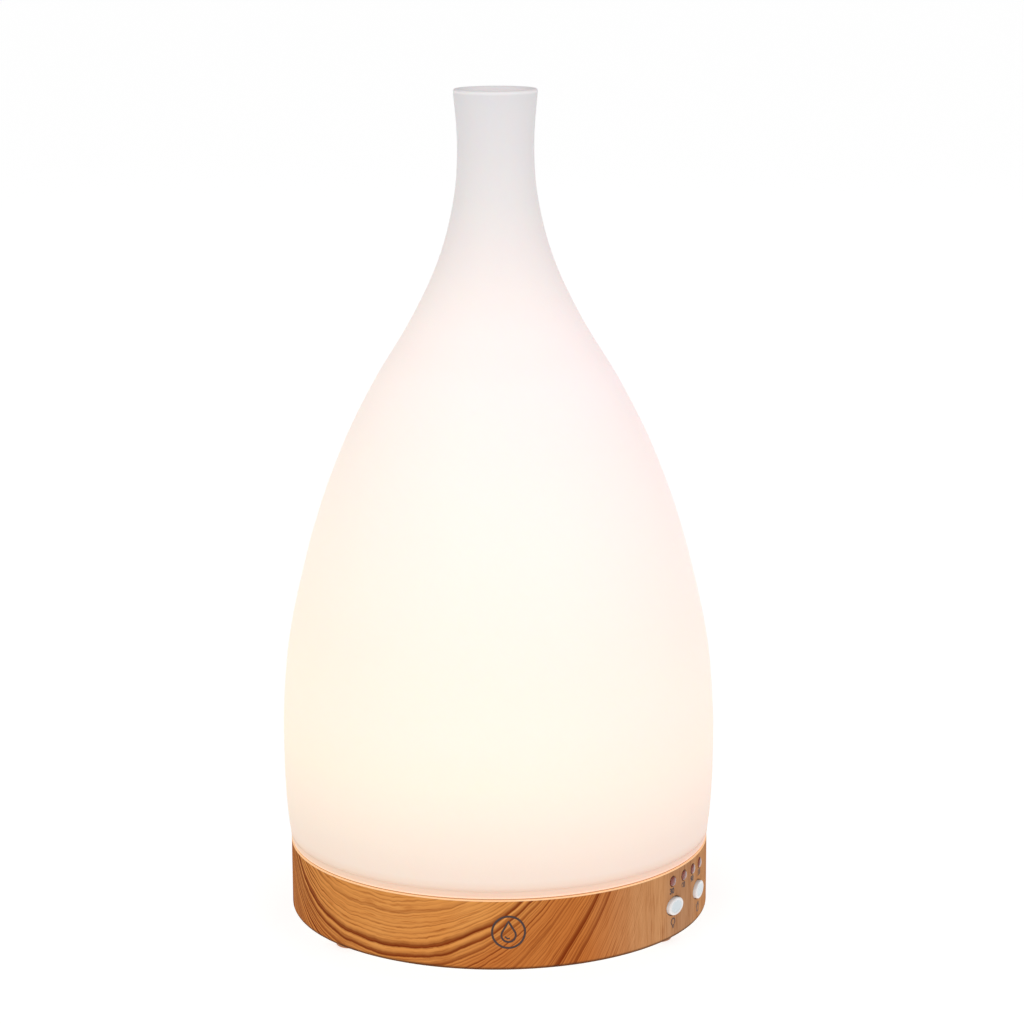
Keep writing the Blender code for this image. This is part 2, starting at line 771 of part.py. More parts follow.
def dc_jack(black, plated):
    """The power inlet at the back, with its centre pin."""
    body_depth = 10.8 * MM
    face = BASE_RADIUS - BASE_WALL - 0.6 * MM
    jack = block(
        "dc_jack",
        (9 * MM, 9.6 * MM, body_depth),
        black,
        location=around(JACK_AZIMUTH, face - body_depth / 2, JACK_HEIGHT),
        rotation=outward(JACK_AZIMUTH),
    )
    at_face = around(JACK_AZIMUTH, face, JACK_HEIGHT)
    turn = outward(JACK_AZIMUTH)
    barrel_end = BASE_RADIUS - 0.2 * MM - face
    barrel = rod(
        "jack_barrel", JACK_BARREL, -1 * MM, barrel_end, None, 20, location=at_face, rotation=turn
    )
    add(jack, barrel)
    socket_end = -6.5 * MM
    socket = rod(
        "jack_socket", JACK_SOCKET, socket_end, barrel_end + MM, None, 20, location=at_face, rotation=turn
    )
    cut(jack, socket)
    rod(
        "jack_pin",
        1.0 * MM,
        socket_end + 0.2 * MM,
        barrel_end - 1.5 * MM,
        plated,
        steps=12,
        location=at_face,
        rotation=turn,
    )


# ---- assembly --------------------------------------------------------------------------------


def build():
    clear_scene()
    wood = material("wood_grain_shell", (0.60, 0.29, 0.11), 0.38)
    glass = material("frosted_glass", (1.0, 0.97, 0.92), 0.55, transmission=0.3)
    clear_plastic = material("milky_plastic", (0.92, 0.93, 0.92), 0.4, transmission=0.2)
    white = material("white_plastic", (0.92, 0.92, 0.91), 0.3)
    grey = material("cover_plastic", (0.80, 0.78, 0.74), 0.5)
    black = material("black_plastic", (0.03, 0.03, 0.03), 0.45)
    rubber = material("foot_rubber", (0.55, 0.30, 0.13), 0.6)
    silicone = material("silicone", (0.75, 0.75, 0.73), 0.6)
    amber = material("smoked_lens", (0.35, 0.10, 0.04), 0.15, transmission=0.4)
    steel = material("screw_steel", (0.62, 0.62, 0.62), 0.3, metallic=1.0)
    plate_steel = material("plate_steel", (0.70, 0.70, 0.68), 0.35, metallic=1.0)
    alloy = material("aluminium", (0.80, 0.81, 0.82), 0.4, metallic=1.0)
    plated = material("nickel", (0.75, 0.72, 0.66), 0.2, metallic=1.0)
    ceramic = material("piezo_ceramic", (0.80, 0.76, 0.66), 0.5)
    green = material("board_green", (0.05, 0.25, 0.10), 0.45)
    white_board = material("board_white", (0.85, 0.85, 0.83), 0.5)
    ferrite = material("ferrite", (0.08, 0.08, 0.09), 0.7)
    sleeve = material("capacitor_sleeve", (0.05, 0.07, 0.20), 0.35)
    coil = material("motor_winding", (0.55, 0.22, 0.08), 0.4, metallic=0.8)
    emitter = material("led_package", (0.95, 0.90, 0.65), 0.4)

    base_housing(wood)
    bottom_cover(grey)
    cover_screws(steel)
    feet(rubber)
    glass_shade(glass)
    water_tank(clear_plastic)
    tank_gasket(silicone)
    lid = reservoir_lid(white)
    mist_chimney(white, lid)
    mist_maker(ceramic, silicone, plate_steel, steel)
    fan(black, coil, steel, silicone)
    drive_board(green, ferrite, sleeve, alloy, black)
    control_board(green, black, emitter)
    buttons(white, black)
    indicator_lenses(amber)
    mood_light(white_board, emitter)
    dc_jack(black, plated)


build()
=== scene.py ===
"""The humidifier's looks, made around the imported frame.

A glowing frosted glass cover stands on a wood-grain base. +Z is up and the front faces -Y. Lengths are
in metres, but fillets, printed strokes and the sizes in materials are in millimetres. An azimuth is in
degrees, seen from above, from the front (-Y) towards +X.
"""

from functools import partialmethod
from math import acos, cos, degrees, hypot, pi, radians, sin

import bmesh
import bpy
from mathutils import Matrix, Vector


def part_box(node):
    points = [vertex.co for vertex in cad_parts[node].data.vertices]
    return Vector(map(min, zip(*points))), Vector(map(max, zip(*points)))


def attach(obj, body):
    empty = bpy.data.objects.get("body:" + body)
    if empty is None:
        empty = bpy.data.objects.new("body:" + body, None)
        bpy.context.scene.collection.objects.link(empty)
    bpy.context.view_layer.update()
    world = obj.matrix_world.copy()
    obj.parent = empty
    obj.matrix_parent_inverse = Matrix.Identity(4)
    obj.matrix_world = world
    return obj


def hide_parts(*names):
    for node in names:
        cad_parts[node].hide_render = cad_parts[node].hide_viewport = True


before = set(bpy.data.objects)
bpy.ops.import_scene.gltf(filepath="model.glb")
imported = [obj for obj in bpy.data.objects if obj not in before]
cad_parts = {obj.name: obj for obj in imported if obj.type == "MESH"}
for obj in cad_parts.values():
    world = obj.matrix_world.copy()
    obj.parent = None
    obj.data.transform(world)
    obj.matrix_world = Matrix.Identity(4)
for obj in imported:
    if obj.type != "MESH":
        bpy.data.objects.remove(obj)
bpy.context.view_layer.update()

MM = 0.001
CUT, JOIN = "DIFFERENCE", "UNION"
moved = Matrix.Translation

# ---- places, from the frame -------------------------------------------------------------------

HOUSING_LOW, HOUSING_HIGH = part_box("base_housing")
SHADE_LOW, SHADE_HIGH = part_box("glass_shade")
TANK_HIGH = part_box("water_tank")[1]
LID_LOW, LID_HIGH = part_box("reservoir_lid")
CHIMNEY_LOW, CHIMNEY_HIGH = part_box("mist_chimney")
COVER_LOW, COVER_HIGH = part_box("bottom_cover")

BASE_RADIUS = HOUSING_HIGH.x
BASE_BOTTOM = HOUSING_LOW.z
BASE_TOP = HOUSING_HIGH.z
BASE_WALL = 2.6 * MM
BASE_FILLET = 2.3
DECK_THICKNESS = 1.7 * MM
DECK_OPENING = 60.0 * MM
BOSS_RING = 64.5 * MM
BOSS_AZIMUTHS = (20, 110, 200, 290)
GAP = 0.3 * MM
SLOTS_RADIUS = 10.5 * MM
SLOT_PITCH = 4.4 * MM
SLOT_WIDTH = 2.2 * MM

BUTTON_AZIMUTHS = {"light": 52.2, "mist": 67.2}
BUTTON_HALF_WIDTH = 4.4 * MM
BUTTON_HALF_HEIGHT = 3.0 * MM
BUTTON_FLANGE = 0.9 * MM
BUTTON_HEIGHT = 13.8 * MM
BUTTON_PROUD = 1.1 * MM
BUTTON_CLEARANCE = 0.35 * MM
LENS_AZIMUTHS = (51.5, 57.4, 63.2, 69.0)
LENS_RADIUS = 1.7 * MM
LENS_HEIGHT = 22.7 * MM
JACK_AZIMUTH = 180.0
JACK_HEIGHT = 13.5 * MM
JACK_BARREL = 4.0 * MM
JACK_SOCKET = 2.75 * MM

# Height above the bottom of the glass, and the radius there, in millimetres.
SHADE_OUTLINE = (
    (0.0, 72.3),
    (10.3, 73.6),
    (25.8, 74.4),
    (46.5, 74.3),
    (69.7, 72.2),
    (92.9, 67.4),
    (116.1, 60.9),
    (139.4, 52.0),
    (160.0, 41.6),
    (180.7, 29.1),
    (201.3, 19.4),
    (222.0, 14.1),
    (240.0, 12.9),
    (258.05, 14.2),
)
SHADE_WALL = 2.4 * MM
TANK_RIM = 55.0 * MM


# ---- geometry helpers -------------------------------------------------------------------------


def around(azimuth, radius, height=0.0):
    """The point at this azimuth in degrees, this far from the axis."""
    turn = radians(azimuth)
    return Vector((radius * sin(turn), -radius * cos(turn), height))


def outward(azimuth, radius, height):
    """The matrix that puts a piece on the wall, its own +Z away from the axis and its +Y up."""
    turn = Matrix.Rotation(radians(azimuth), 4, "Z") @ Matrix.Rotation(pi / 2, 4, "X")
    return moved(around(azimuth, radius, height)) @ turn


def rounded(corners, steps=5):
    """A closed outline of (radius, height), each corner given with its own fillet in millimetres."""
    points = []
    count = len(corners)
    for i, (r, z, fillet) in enumerate(corners):
        here = Vector((r, z))
        if fillet <= 0:
            points.append(here)
            continue
        before = Vector(corners[i - 1][:2]) - here
        after = Vector(corners[(i + 1) % count][:2]) - here
        half = before.angle(after) / 2
        slope = max(abs(sin(half) / cos(half)), 1e-6)
        reach = min(fillet * MM / slope, before.length / 2, after.length / 2)
        start = here + before.normalized() * reach
        end = here + after.normalized() * reach
        for k in range(steps + 1):
            t = k / steps
            points.append(start * (1 - t) ** 2 + here * 2 * t * (1 - t) + end * t**2)
    return points


def lathe(outline, steps):
    """A bmesh of a closed outline turned round Z. Points on the axis become poles."""
    bm = bmesh.new()
    rings = []
    for r, z in outline:
        if r < 1e-7:
            rings.append([bm.verts.new((0, 0, z))])
        else:
            turns = [2 * pi * i / steps for i in range(steps)]
            rings.append([bm.verts.new((r * sin(turn), -r * cos(turn), z)) for turn in turns])
    for one, two in zip(rings, rings[1:] + rings[:1]):
        for i in range(steps):
            k = i + 1
            corners = (one[i % len(one)], one[k % len(one)], two[k % len(two)], two[i % len(two)])
            corners = list(dict.fromkeys(corners))
            if len(corners) > 2:
                bm.faces.new(corners)
    bmesh.ops.recalc_face_normals(bm, faces=bm.faces)
    return bm


def block(size, bevel, segments=3, upright=False):
    """A box with its edges rounded: all of them, or those that stand upright."""
    bm = bmesh.new()
    bmesh.ops.create_cube(bm, size=1.0)
    bmesh.ops.scale(bm, verts=bm.verts, vec=size)
    edges = [e for e in bm.edges if not upright or abs(e.verts[0].co.z - e.verts[1].co.z) > MM]
    bmesh.ops.bevel(bm, geom=edges, offset=bevel, segments=segments, profile=0.5, affect="EDGES")
    return bm


def mesh_of(name, bm):
    """A mesh with what is in the bmesh, which is freed."""
    mesh = bpy.data.meshes.new(name)
    bm.to_mesh(mesh)
    bm.free()
    return mesh


def linked(name, data):
    """A new object in the scene."""
    obj = bpy.data.objects.new(name, data)
    bpy.context.scene.collection.objects.link(obj)
    return obj


def shaded(mesh, angle=32):
    mesh.shade_smooth()
    mesh.set_sharp_from_angle(angle=radians(angle))


def piece(name, bm, body, materials, stands_for=(), place=None, angle=32):
    """Makes a named piece of a bmesh, in the row frame, and lets it ride on its body."""
    if place is not None:
        bm.transform(place)
    mesh = mesh_of(name, bm)
    shaded(mesh, angle)
    for one in materials:
        mesh.materials.append(one)
    obj = linked(name, mesh)
    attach(obj, body)
    if stands_for:
        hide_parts(*stands_for)
    return obj


def helper(bm, place):
    """A cutter or an addition for a Boolean, which is gone afterwards."""
    bm.transform(place)
    return linked("helper", mesh_of("helper", bm))


def carved(bm, steps):
    """The bmesh after a list of (operation, bmesh, place) Booleans, in order."""
    target = helper(bm, Matrix.Identity(4))
    others = []
    for operation, other, place in steps:
        others.append(helper(other, place))
        modifier = target.modifiers.new("Boolean", "BOOLEAN")
        modifier.operation = operation
        modifier.object = others[-1]
        modifier.solver = "EXACT"
    graph = bpy.context.evaluated_depsgraph_get()
    made = bpy.data.meshes.new_from_object(target.evaluated_get(graph))
    result = bmesh.new()
    result.from_mesh(made)
    for obj in (target, *others):
        bpy.data.objects.remove(obj, do_unlink=True)
    bpy.data.meshes.remove(made)
    bmesh.ops.remove_doubles(result, verts=result.verts, dist=1e-7)
    return result


def rod(radius, low, high, steps=40):
    return lathe([(0, low), (radius, low), (radius, high), (0, high)], steps)


# ---- material helpers -------------------------------------------------------------------------


def srgb(red, green, blue):
    """The linear colour of an sRGB one with channels from 0 to 255."""
    channels = [c / 255 for c in (red, green, blue)]
    return tuple(c / 12.92 if c <= 0.04045 else ((c + 0.055) / 1.055) ** 2.4 for c in channels)


class Nodes:
    """Short ways to add nodes to a tree."""

    def __init__(self, tree):
        self.tree = tree

    def add(self, kind, inputs=(), **settings):
        """A new node, with its inputs in a dictionary by name or number."""
        made = self.tree.nodes.new(kind)
        for name, value in settings.items():
            setattr(made, name, value)
        for key, value in dict(inputs).items():
            self.link(made.inputs[key], value)
        return made

    def link(self, socket, value):
        if isinstance(value, bpy.types.NodeSocket):
            self.tree.links.new(value, socket)
        elif isinstance(value, tuple) and len(value) == 3 and socket.type == "RGBA":
            socket.default_value = (*value, 1.0)
        else:
            socket.default_value = value


class Surface(Nodes):
    """One material, its lengths in millimetres."""

    def __init__(self, name, **shader):
        self.material = bpy.data.materials.new(name)
        self.material.use_nodes = True
        super().__init__(self.material.node_tree)
        self.shader = self.tree.nodes["Principled BSDF"]
        self.set(**shader)
        metres = self.add("ShaderNodeTexCoord").outputs["Object"]
        scaled = self.add("ShaderNodeVectorMath", {0: metres, "Scale": 1 / MM}, operation="SCALE")
        self.place = scaled.outputs[0]
        self.x, self.y, self.z = self.add("ShaderNodeSeparateXYZ", {0: self.place}).outputs

    def set(self, **inputs):
        """Sets the shader's sockets, such as Base_Color or Roughness."""
        for name, value in inputs.items():
            self.link(self.shader.inputs[name.replace("_", " ")], value)

    def vector(self, x, y, z):
        return self.add("ShaderNodeCombineXYZ", {0: x, 1: y, 2: z}).outputs[0]

    def stretched(self, x, y, z):
        """The place, with each axis scaled."""
        inputs = {0: self.place, 1: (x, y, z)}
        return self.add("ShaderNodeVectorMath", inputs, operation="MULTIPLY").outputs[0]

    def math(self, operation, *values, clamp=False):
        inputs = dict(enumerate(values))
        return self.add("ShaderNodeMath", inputs, operation=operation, use_clamp=clamp).outputs[0]

    plus = partialmethod(math, "ADD")
    minus = partialmethod(math, "SUBTRACT")
    times = partialmethod(math, "MULTIPLY")
    over = partialmethod(math, "DIVIDE")

    def from_axis(self):
        """How far the place is from the axis."""
        squares = [self.math("POWER", value, 2.0) for value in (self.x, self.y)]
        return self.math("SQRT", self.plus(*squares))

    def noise(self, size, vector=None, detail=2.0, roughness=0.5):
        """Noise from 0 to 1 with features of about this size."""
        vector = self.place if vector is None else vector
        inputs = {"Vector": vector, "Scale": 1 / size, "Detail": detail, "Roughness": roughness}
        return self.add("ShaderNodeTexNoise", inputs).outputs["Fac"]

    def step(self, value, low, high):
        """0 below low, 1 above high, smooth between."""
        inputs = {"Value": value, "From Min": low, "From Max": high}
        return self.add("ShaderNodeMapRange", inputs, interpolation_type="SMOOTHSTEP").outputs[0]

    def spread(self, value, low, high):
        """A value that runs from 0 to 1, brought to run from low to high."""
        inputs = {"Value": value, "To Min": low, "To Max": high}
        return self.add("ShaderNodeMapRange", inputs).outputs[0]

    def ramp(self, value, stops):
        """Colours between (position, colour) stops, the positions from 0 to 1."""
        made = self.add("ShaderNodeValToRGB", {0: value})
        elements = made.color_ramp.elements
        while len(elements) < len(stops):
            elements.new(1.0)
        for element, (position, colour) in zip(elements, stops):
            element.position = position
            element.color = (*colour, 1.0)
        return made.outputs["Color"]

    def mix(self, share, one, two, blend="MIX"):
        inputs = {0: share, 6: one, 7: two}
        return self.add("ShaderNodeMix", inputs, data_type="RGBA", blend_type=blend).outputs[2]

    def bump(self, height, depth):
        """Relief of this depth where the height runs from 0 to 1."""
        made = self.add("ShaderNodeBump", {"Strength": 1.0, "Distance": depth * MM, "Height": height})
        before = self.shader.inputs["Normal"].links
        if before:
            self.link(made.inputs["Normal"], before[0].from_socket)
        self.set(Normal=made.outputs[0])


def toned(colour, factor):
    return tuple(min(c * factor, 1.0) for c in colour)


def moulded(name, colour, roughness, grain=0.25, relief=0.012, mottle=0.05, **shader):
    """Moulded plastic or rubber: slow changes of tone, and the fine relief of a sparked mould."""
    made = Surface(name, **shader)
    slow = made.noise(14.0, detail=3.0)
    fine = made.noise(grain, detail=2.0)
    tone = made.mix(slow, toned(colour, 1 - mottle), toned(colour, 1 + mottle))
    speck = made.mix(made.spread(fine, 0.0, 0.12), tone, toned(colour, 0.8))
    made.set(Base_Color=speck)
    made.set(Roughness=made.spread(made.noise(5.0, detail=4.0), roughness - 0.07, roughness + 0.07))
    made.bump(fine, relief)
    return made.material


def metal(name, colour, roughness, stretch=(1, 1, 1)):
    """Bare or plated metal with drawn or turned marks along the axes that are scaled down."""
    made = Surface(name, Metallic=1.0)
    marks = made.noise(0.5, made.stretched(*stretch), detail=4.0)
    stains = made.noise(6.0, detail=3.0)
    made.set(Base_Color=made.mix(stains, toned(colour, 0.86), toned(colour, 1.08)))
    made.set(Roughness=made.spread(marks, roughness - 0.08, roughness + 0.1))
    made.bump(marks, 0.004)
    return made.material


def circuit(name, mask, copper, silver):
    """A printed circuit board: solder mask over tracks that run square, and tinned pads."""
    made = Surface(name, Roughness=0.35, Coat_Weight=0.3, Coat_Roughness=0.2)
    inputs = {"Vector": made.place, "Scale": 1 / 3.4}
    cells = made.add("ShaderNodeTexVoronoi", inputs, feature="F1", distance="CHEBYCHEV")
    away = cells.outputs["Distance"]
    track = made.math("GREATER_THAN", made.math("FRACT", made.times(away, 4.0)), 0.62)
    pad = made.math("LESS_THAN", away, 0.1)
    board = made.mix(made.noise(9.0), toned(mask, 0.85), toned(mask, 1.15))
    made.set(Base_Color=made.mix(pad, made.mix(track, board, copper), silver))
    made.bump(track, 0.03)
    return made.material


def winding(name, wire, gap, pitch=0.45):
    """Enamelled wire wound in rows."""
    made = Surface(name, Metallic=0.6, Roughness=0.35)
    rows = made.math("ABSOLUTE", made.math("SINE", made.times(made.z, pi / pitch)))
    worn = made.mix(made.noise(2.0), toned(wire, 0.8), toned(wire, 1.15))
    made.set(Base_Color=made.mix(made.step(rows, 0.1, 0.6), gap, worn))
    made.bump(rows, 0.12)
    return made.material


# ---- the two materials that the object is known by -------------------------------------------

GRAIN_MIDDLE = -41.5  # along the wall from the front, where the arches of the grain are centred
GRAIN_SPAN = 140.0
GRAIN_STEEPER = 12700.0
GRAIN_BOW = 6.0
GRAIN_DRIFT = 3.2
GRAIN_WAVER = 1.3
RING_PITCH = 1.75

# Where a change starts and ends, along the wall from the middle of the arches.
LEFT = -18.0, -44.0
FLAT_MIDDLE = 2.0, -22.0
FLAT_ENDS = 104.0, 62.0
STRAIGHT = 76.0, 100.0
TAN = 64.0, 96.0
FAR_TAN = 98.0, 110.0

# Where along the arches the heavy rings lie, how wide each one is, and how dark.
HEAVY_RINGS = (
    (-20.0, 0.5, 0.45),
    (-8.4, 1.15, 1.0),
    (-5.0, 0.95, 1.0),
    (-1.8, 0.8, 0.8),
    (11.5, 0.8, 0.6),
    (27.0, 1.7, 1.0),
    (36.0, 1.6, 0.8),
)
# How strong the ordinary rings are along the arches.
RING_ZONES = (
    (-26.0, 0.42),
    (-12.0, 0.46),
    (-8.0, 0.9),
    (4.0, 0.9),
    (9.0, 0.55),
    (19.0, 0.6),
    (24.0, 0.9),
    (40.0, 0.5),
)
LEVEL_LOW, LEVEL_SPAN = -27.0, 68.0
RED_LEVELS = -9.0, 4.0

# Across one ring, from 0 to 1: how dark it is.
RING_SHAPE = ((0.0, 0.35), (0.08, 0.0), (0.35, 0.1), (0.6, 0.4), (0.78, 1.0), (0.94, 0.95), (1.0, 0.35))

# The film's colours: grounds that run between two tones, then single ones.
PALE_GROUND = srgb(220, 140, 66), srgb(234, 164, 90)
RED_GROUND = srgb(192, 106, 46), srgb(212, 134, 66)
TAN_GROUND = srgb(188, 128, 80), srgb(226, 174, 124)
FAR_GROUND = srgb(168, 118, 80), srgb(206, 162, 124)
RING_COLOUR = srgb(124, 44, 4)
FIBRE_COLOUR = srgb(206, 178, 154)
SHADE_COLOUR = srgb(70, 46, 32)
# Painted light along the film's top edge, where the glass shines on it: a pale colour and a faint glow.
PAINTED_RIM_LIGHT_COLOUR = srgb(248, 204, 158)
PAINTED_RIM_GLOW = (0.24, 0.15, 0.08)


def heavy_stops():
    """Ramp stops with a soft rise and a sharp fall at each heavy ring."""
    stops = [(-26.0, 0.0)]
    for level, width, depth in HEAVY_RINGS:
        stops += [
            (level - 2.0 * width, 0.0),
            (level - 0.45 * width, 0.8 * depth),
            (level + 0.25 * width, depth),
            (level + 0.55 * width, 0.0),
        ]
    return stops


def wood_print():
    """Lacquered wood-grain film: broad arches of growth rings, repeated twice round the wall."""
    made = Surface("wood_grain_film", Specular_IOR_Level=0.0, Coat_Weight=0.05, Coat_Roughness=0.25)
    math, plus, minus, times, over = made.math, made.plus, made.minus, made.times, made.over
    radius = BASE_RADIUS / MM
    along = times(math("ARCTAN2", made.x, times(made.y, -1.0)), radius)
    period = pi * radius
    shifted = minus(along, GRAIN_MIDDLE)
    turns = math("ROUND", over(shifted, period))
    across = minus(shifted, times(turns, period))
    side = math("ABSOLUTE", across)
    left = made.step(across, *LEFT)
    straight = made.step(side, *STRAIGHT)

    # The arches are flatter to the left of their middle, which widens them there.
    flat = times(made.step(across, *FLAT_MIDDLE), made.step(side, *FLAT_ENDS))
    bowed = plus(across, times(flat, GRAIN_BOW))
    square = times(bowed, bowed)
    steeper = plus(over(square, GRAIN_STEEPER), 1.0)
    arch = times(over(square, GRAIN_SPAN), steeper)
    drift = times(minus(made.noise(26.0, detail=1.0), 0.5), GRAIN_DRIFT)
    waver = times(minus(made.noise(5.0, made.stretched(1, 1, 0.5)), 0.5), GRAIN_WAVER)
    level = plus(plus(minus(arch, made.z), drift), waver)
    zone = over(minus(level, LEVEL_LOW), LEVEL_SPAN, clamp=True)

    def greys(value, stops):
        return made.ramp(value, [(at, (share,) * 3) for at, share in stops])

    def along_level(stops):
        return greys(zone, [((at - LEVEL_LOW) / LEVEL_SPAN, share) for at, share in stops])

    inputs = {"W": times(level, 0.16), "Scale": 1.0}
    uneven = made.add("ShaderNodeTexNoise", inputs, noise_dimensions="1D")
    rings = plus(over(level, RING_PITCH), times(uneven.outputs["Fac"], 2.6))
    chance = made.add("ShaderNodeTexWhiteNoise", {"W": math("FLOOR", rings)}, noise_dimensions="1D")
    strength = made.spread(math("POWER", chance.outputs["Value"], 1.3), 0.3, 1.0)
    strength = times(strength, along_level(RING_ZONES))
    strength = times(strength, made.spread(left, 1.0, 2.6))
    dark = greys(math("FRACT", rings), RING_SHAPE)
    rows = math("MAXIMUM", times(dark, strength), along_level(heavy_stops()))
    line = times(rows, made.spread(straight, 1.0, 0.25))

    bent = made.vector(over(level, 0.62), times(side, 0.085), made.spread(straight, 0.0, 9.0))
    curved = made.noise(1.0, bent, detail=3.0, roughness=0.6)
    upright = made.noise(0.5, made.stretched(1, 1, 0.045), detail=4.0, roughness=0.6)
    fibres = plus(times(curved, minus(1.0, straight)), times(upright, straight))
    streaks = made.noise(2.4, made.stretched(1, 1, 0.05), detail=3.0)
    patch = made.noise(18.0, made.stretched(1, 1, 0.6), detail=3.0)

    pale = made.mix(patch, *PALE_GROUND)
    ground = made.mix(made.step(level, *RED_LEVELS), pale, made.mix(patch, *RED_GROUND))
    ground = made.mix(times(left, 0.5), ground, pale)
    near, far = made.mix(streaks, *TAN_GROUND), made.mix(streaks, *FAR_GROUND)
    tan = made.mix(made.step(side, *FAR_TAN), near, far)
    ground = made.mix(made.spread(made.step(side, *TAN), 0.0, 0.85), ground, tan)
    grooved = made.mix(line, ground, RING_COLOUR)
    fine = made.mix(made.step(fibres, 0.46, 0.72), (1.0, 1.0, 1.0), FIBRE_COLOUR)
    inked = made.mix(0.8, grooved, fine, "MULTIPLY")

    # The film is painted pale along its top edge, with a faint painted glow there, as painted light
    # from the glass. Its lower edge is darkened as painted shade.
    rim = made.step(made.z, BASE_TOP / MM - 0.5, BASE_TOP / MM - 0.22)
    shade = made.step(made.z, BASE_BOTTOM / MM + 1.5, BASE_BOTTOM / MM + 0.6)
    shaded_ink = made.mix(times(shade, 0.8), inked, SHADE_COLOUR)
    made.set(Base_Color=made.mix(rim, shaded_ink, PAINTED_RIM_LIGHT_COLOUR))
    made.set(Emission_Color=made.mix(rim, (0.0, 0.0, 0.0), PAINTED_RIM_GLOW), Emission_Strength=1.0)
    made.set(Roughness=made.spread(fibres, 0.4, 0.54))
    made.bump(line, 0.015)
    made.bump(fibres, 0.01)
    return made.material


# By height in millimetres: the etched skin's colour, tinted peach above the foot as a painted
# reflection of the wood and darkened at the fine step as painted shade, and the light that comes
# through it.
SKIN_AND_PAINTED_REFLECTION_STOPS = (
    (27.0, srgb(214, 176, 150)),
    (28.0, srgb(217, 184, 164)),
    (29.2, srgb(219, 190, 172)),
    (29.75, srgb(200, 172, 156)),
    (30.4, srgb(221, 201, 186)),
    (33.0, srgb(223, 212, 202)),
    (42.0, srgb(223, 217, 209)),
    (55.0, srgb(224, 221, 216)),
    (80.0, srgb(224, 224, 222)),
    (285.0, srgb(223, 223, 223)),
)
GLOW_STOPS = (
    (27.0, (0.56, 0.42, 0.33)),
    (27.4, (0.36, 0.25, 0.19)),
    (27.9, (0.27, 0.18, 0.13)),
    (29.4, (0.25, 0.17, 0.12)),
    (31.0, (0.22, 0.14, 0.10)),
    (36.0, (0.25, 0.15, 0.10)),
    (50.0, (0.33, 0.20, 0.12)),
    (65.0, (0.36, 0.25, 0.14)),
    (95.0, (0.38, 0.275, 0.175)),
    (120.0, (0.41, 0.295, 0.215)),
    (145.0, (0.42, 0.31, 0.25)),
    (170.0, (0.43, 0.32, 0.28)),
    (190.0, (0.44, 0.33, 0.31)),
    (205.0, (0.41, 0.31, 0.29)),
    (220.0, (0.33, 0.25, 0.23)),
    (235.0, (0.235, 0.175, 0.165)),
    (250.0, (0.15, 0.12, 0.115)),
    (262.0, (0.10, 0.075, 0.08)),
    (275.0, (0.06, 0.04, 0.05)),
    (285.0, (0.03, 0.02, 0.03)),
)
MOUTH_LIGHT = (0.13, 0.125, 0.125)
MOUTH_RADII = 12.4, 11.9
LIP_HEIGHTS = 283.4, 284.4


def frosted_glass():
    """Etched glass with the lamp on inside: it glows from the belly and fades up the neck."""
    made = Surface("frosted_glass", Specular_IOR_Level=0.3, IOR=1.5, Emission_Strength=1.0)
    made.set(Subsurface_Weight=0.15, Subsurface_Scale=0.004)
    low, high = GLOW_STOPS[0][0], GLOW_STOPS[-1][0]
    height = made.over(made.minus(made.z, low), high - low, clamp=True)
    glow, skin = [
        made.ramp(height, [((z - low) / (high - low), colour) for z, colour in stops])
        for stops in (GLOW_STOPS, SKIN_AND_PAINTED_REFLECTION_STOPS)
    ]
    cloud = made.mix(made.noise(45.0, detail=2.0), (0.97, 0.97, 0.96), (1.04, 1.04, 1.03))
    # The glow is painted yellower towards -X and pinker towards +X, as painted side light.
    lit_side = made.plus(made.over(made.x, 140.0), 0.5, clamp=True)
    painted_side_light = made.mix(lit_side, (1.0, 1.05, 0.92), (1.0, 0.96, 1.08))
    lit = made.mix(1.0, made.mix(1.0, glow, painted_side_light, "MULTIPLY"), cloud, "MULTIPLY")
    # Light also comes through the thin neck, to the inside of the mouth and its lip.
    within, lip = made.step(made.from_axis(), *MOUTH_RADII), made.step(made.z, *LIP_HEIGHTS)
    inside = made.math("MAXIMUM", within, lip)
    made.set(Emission_Color=made.mix(inside, lit, MOUTH_LIGHT, "ADD"))
    frost = made.noise(0.35, detail=3.0)
    etched = made.mix(made.noise(1.1, detail=4.0), (0.985, 0.985, 0.985), (1.0, 1.0, 1.0))
    # The skin's peach band above the foot is a painted reflection of the wood, and its dark line is
    # painted shade at the step.
    made.set(Base_Color=made.mix(1.0, skin, etched, "MULTIPLY"))
    made.set(Roughness=made.spread(frost, 0.42, 0.56))
    made.bump(frost, 0.006)
    return made.material


# ---- base -------------------------------------------------------------------------------------


def centre(node):
    """The middle of a CAD node seen from above, at height 0."""
    low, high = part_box(node)
    return Vector(((low.x + high.x) / 2, (low.y + high.y) / 2, 0))


def widened(bm, factor):
    """Stretches turned work along its own X, which makes its circles ovals."""
    bm.transform(Matrix.Diagonal((factor, 1, 1, 1)))
    return bm


def wall_cut(azimuth, height, radius, flare, stretch=1.0):
    """A round or oval hole in the wall, its rim broken by a small flare."""
    outline = [
        (0, -6 * MM),
        (radius, -6 * MM),
        (radius, -flare),
        (radius + flare, flare * 0.6),
        (radius + flare, 4 * MM),
        (0, 4 * MM),
    ]
    return CUT, widened(lathe(outline, 56), stretch), outward(azimuth, BASE_RADIUS, height)


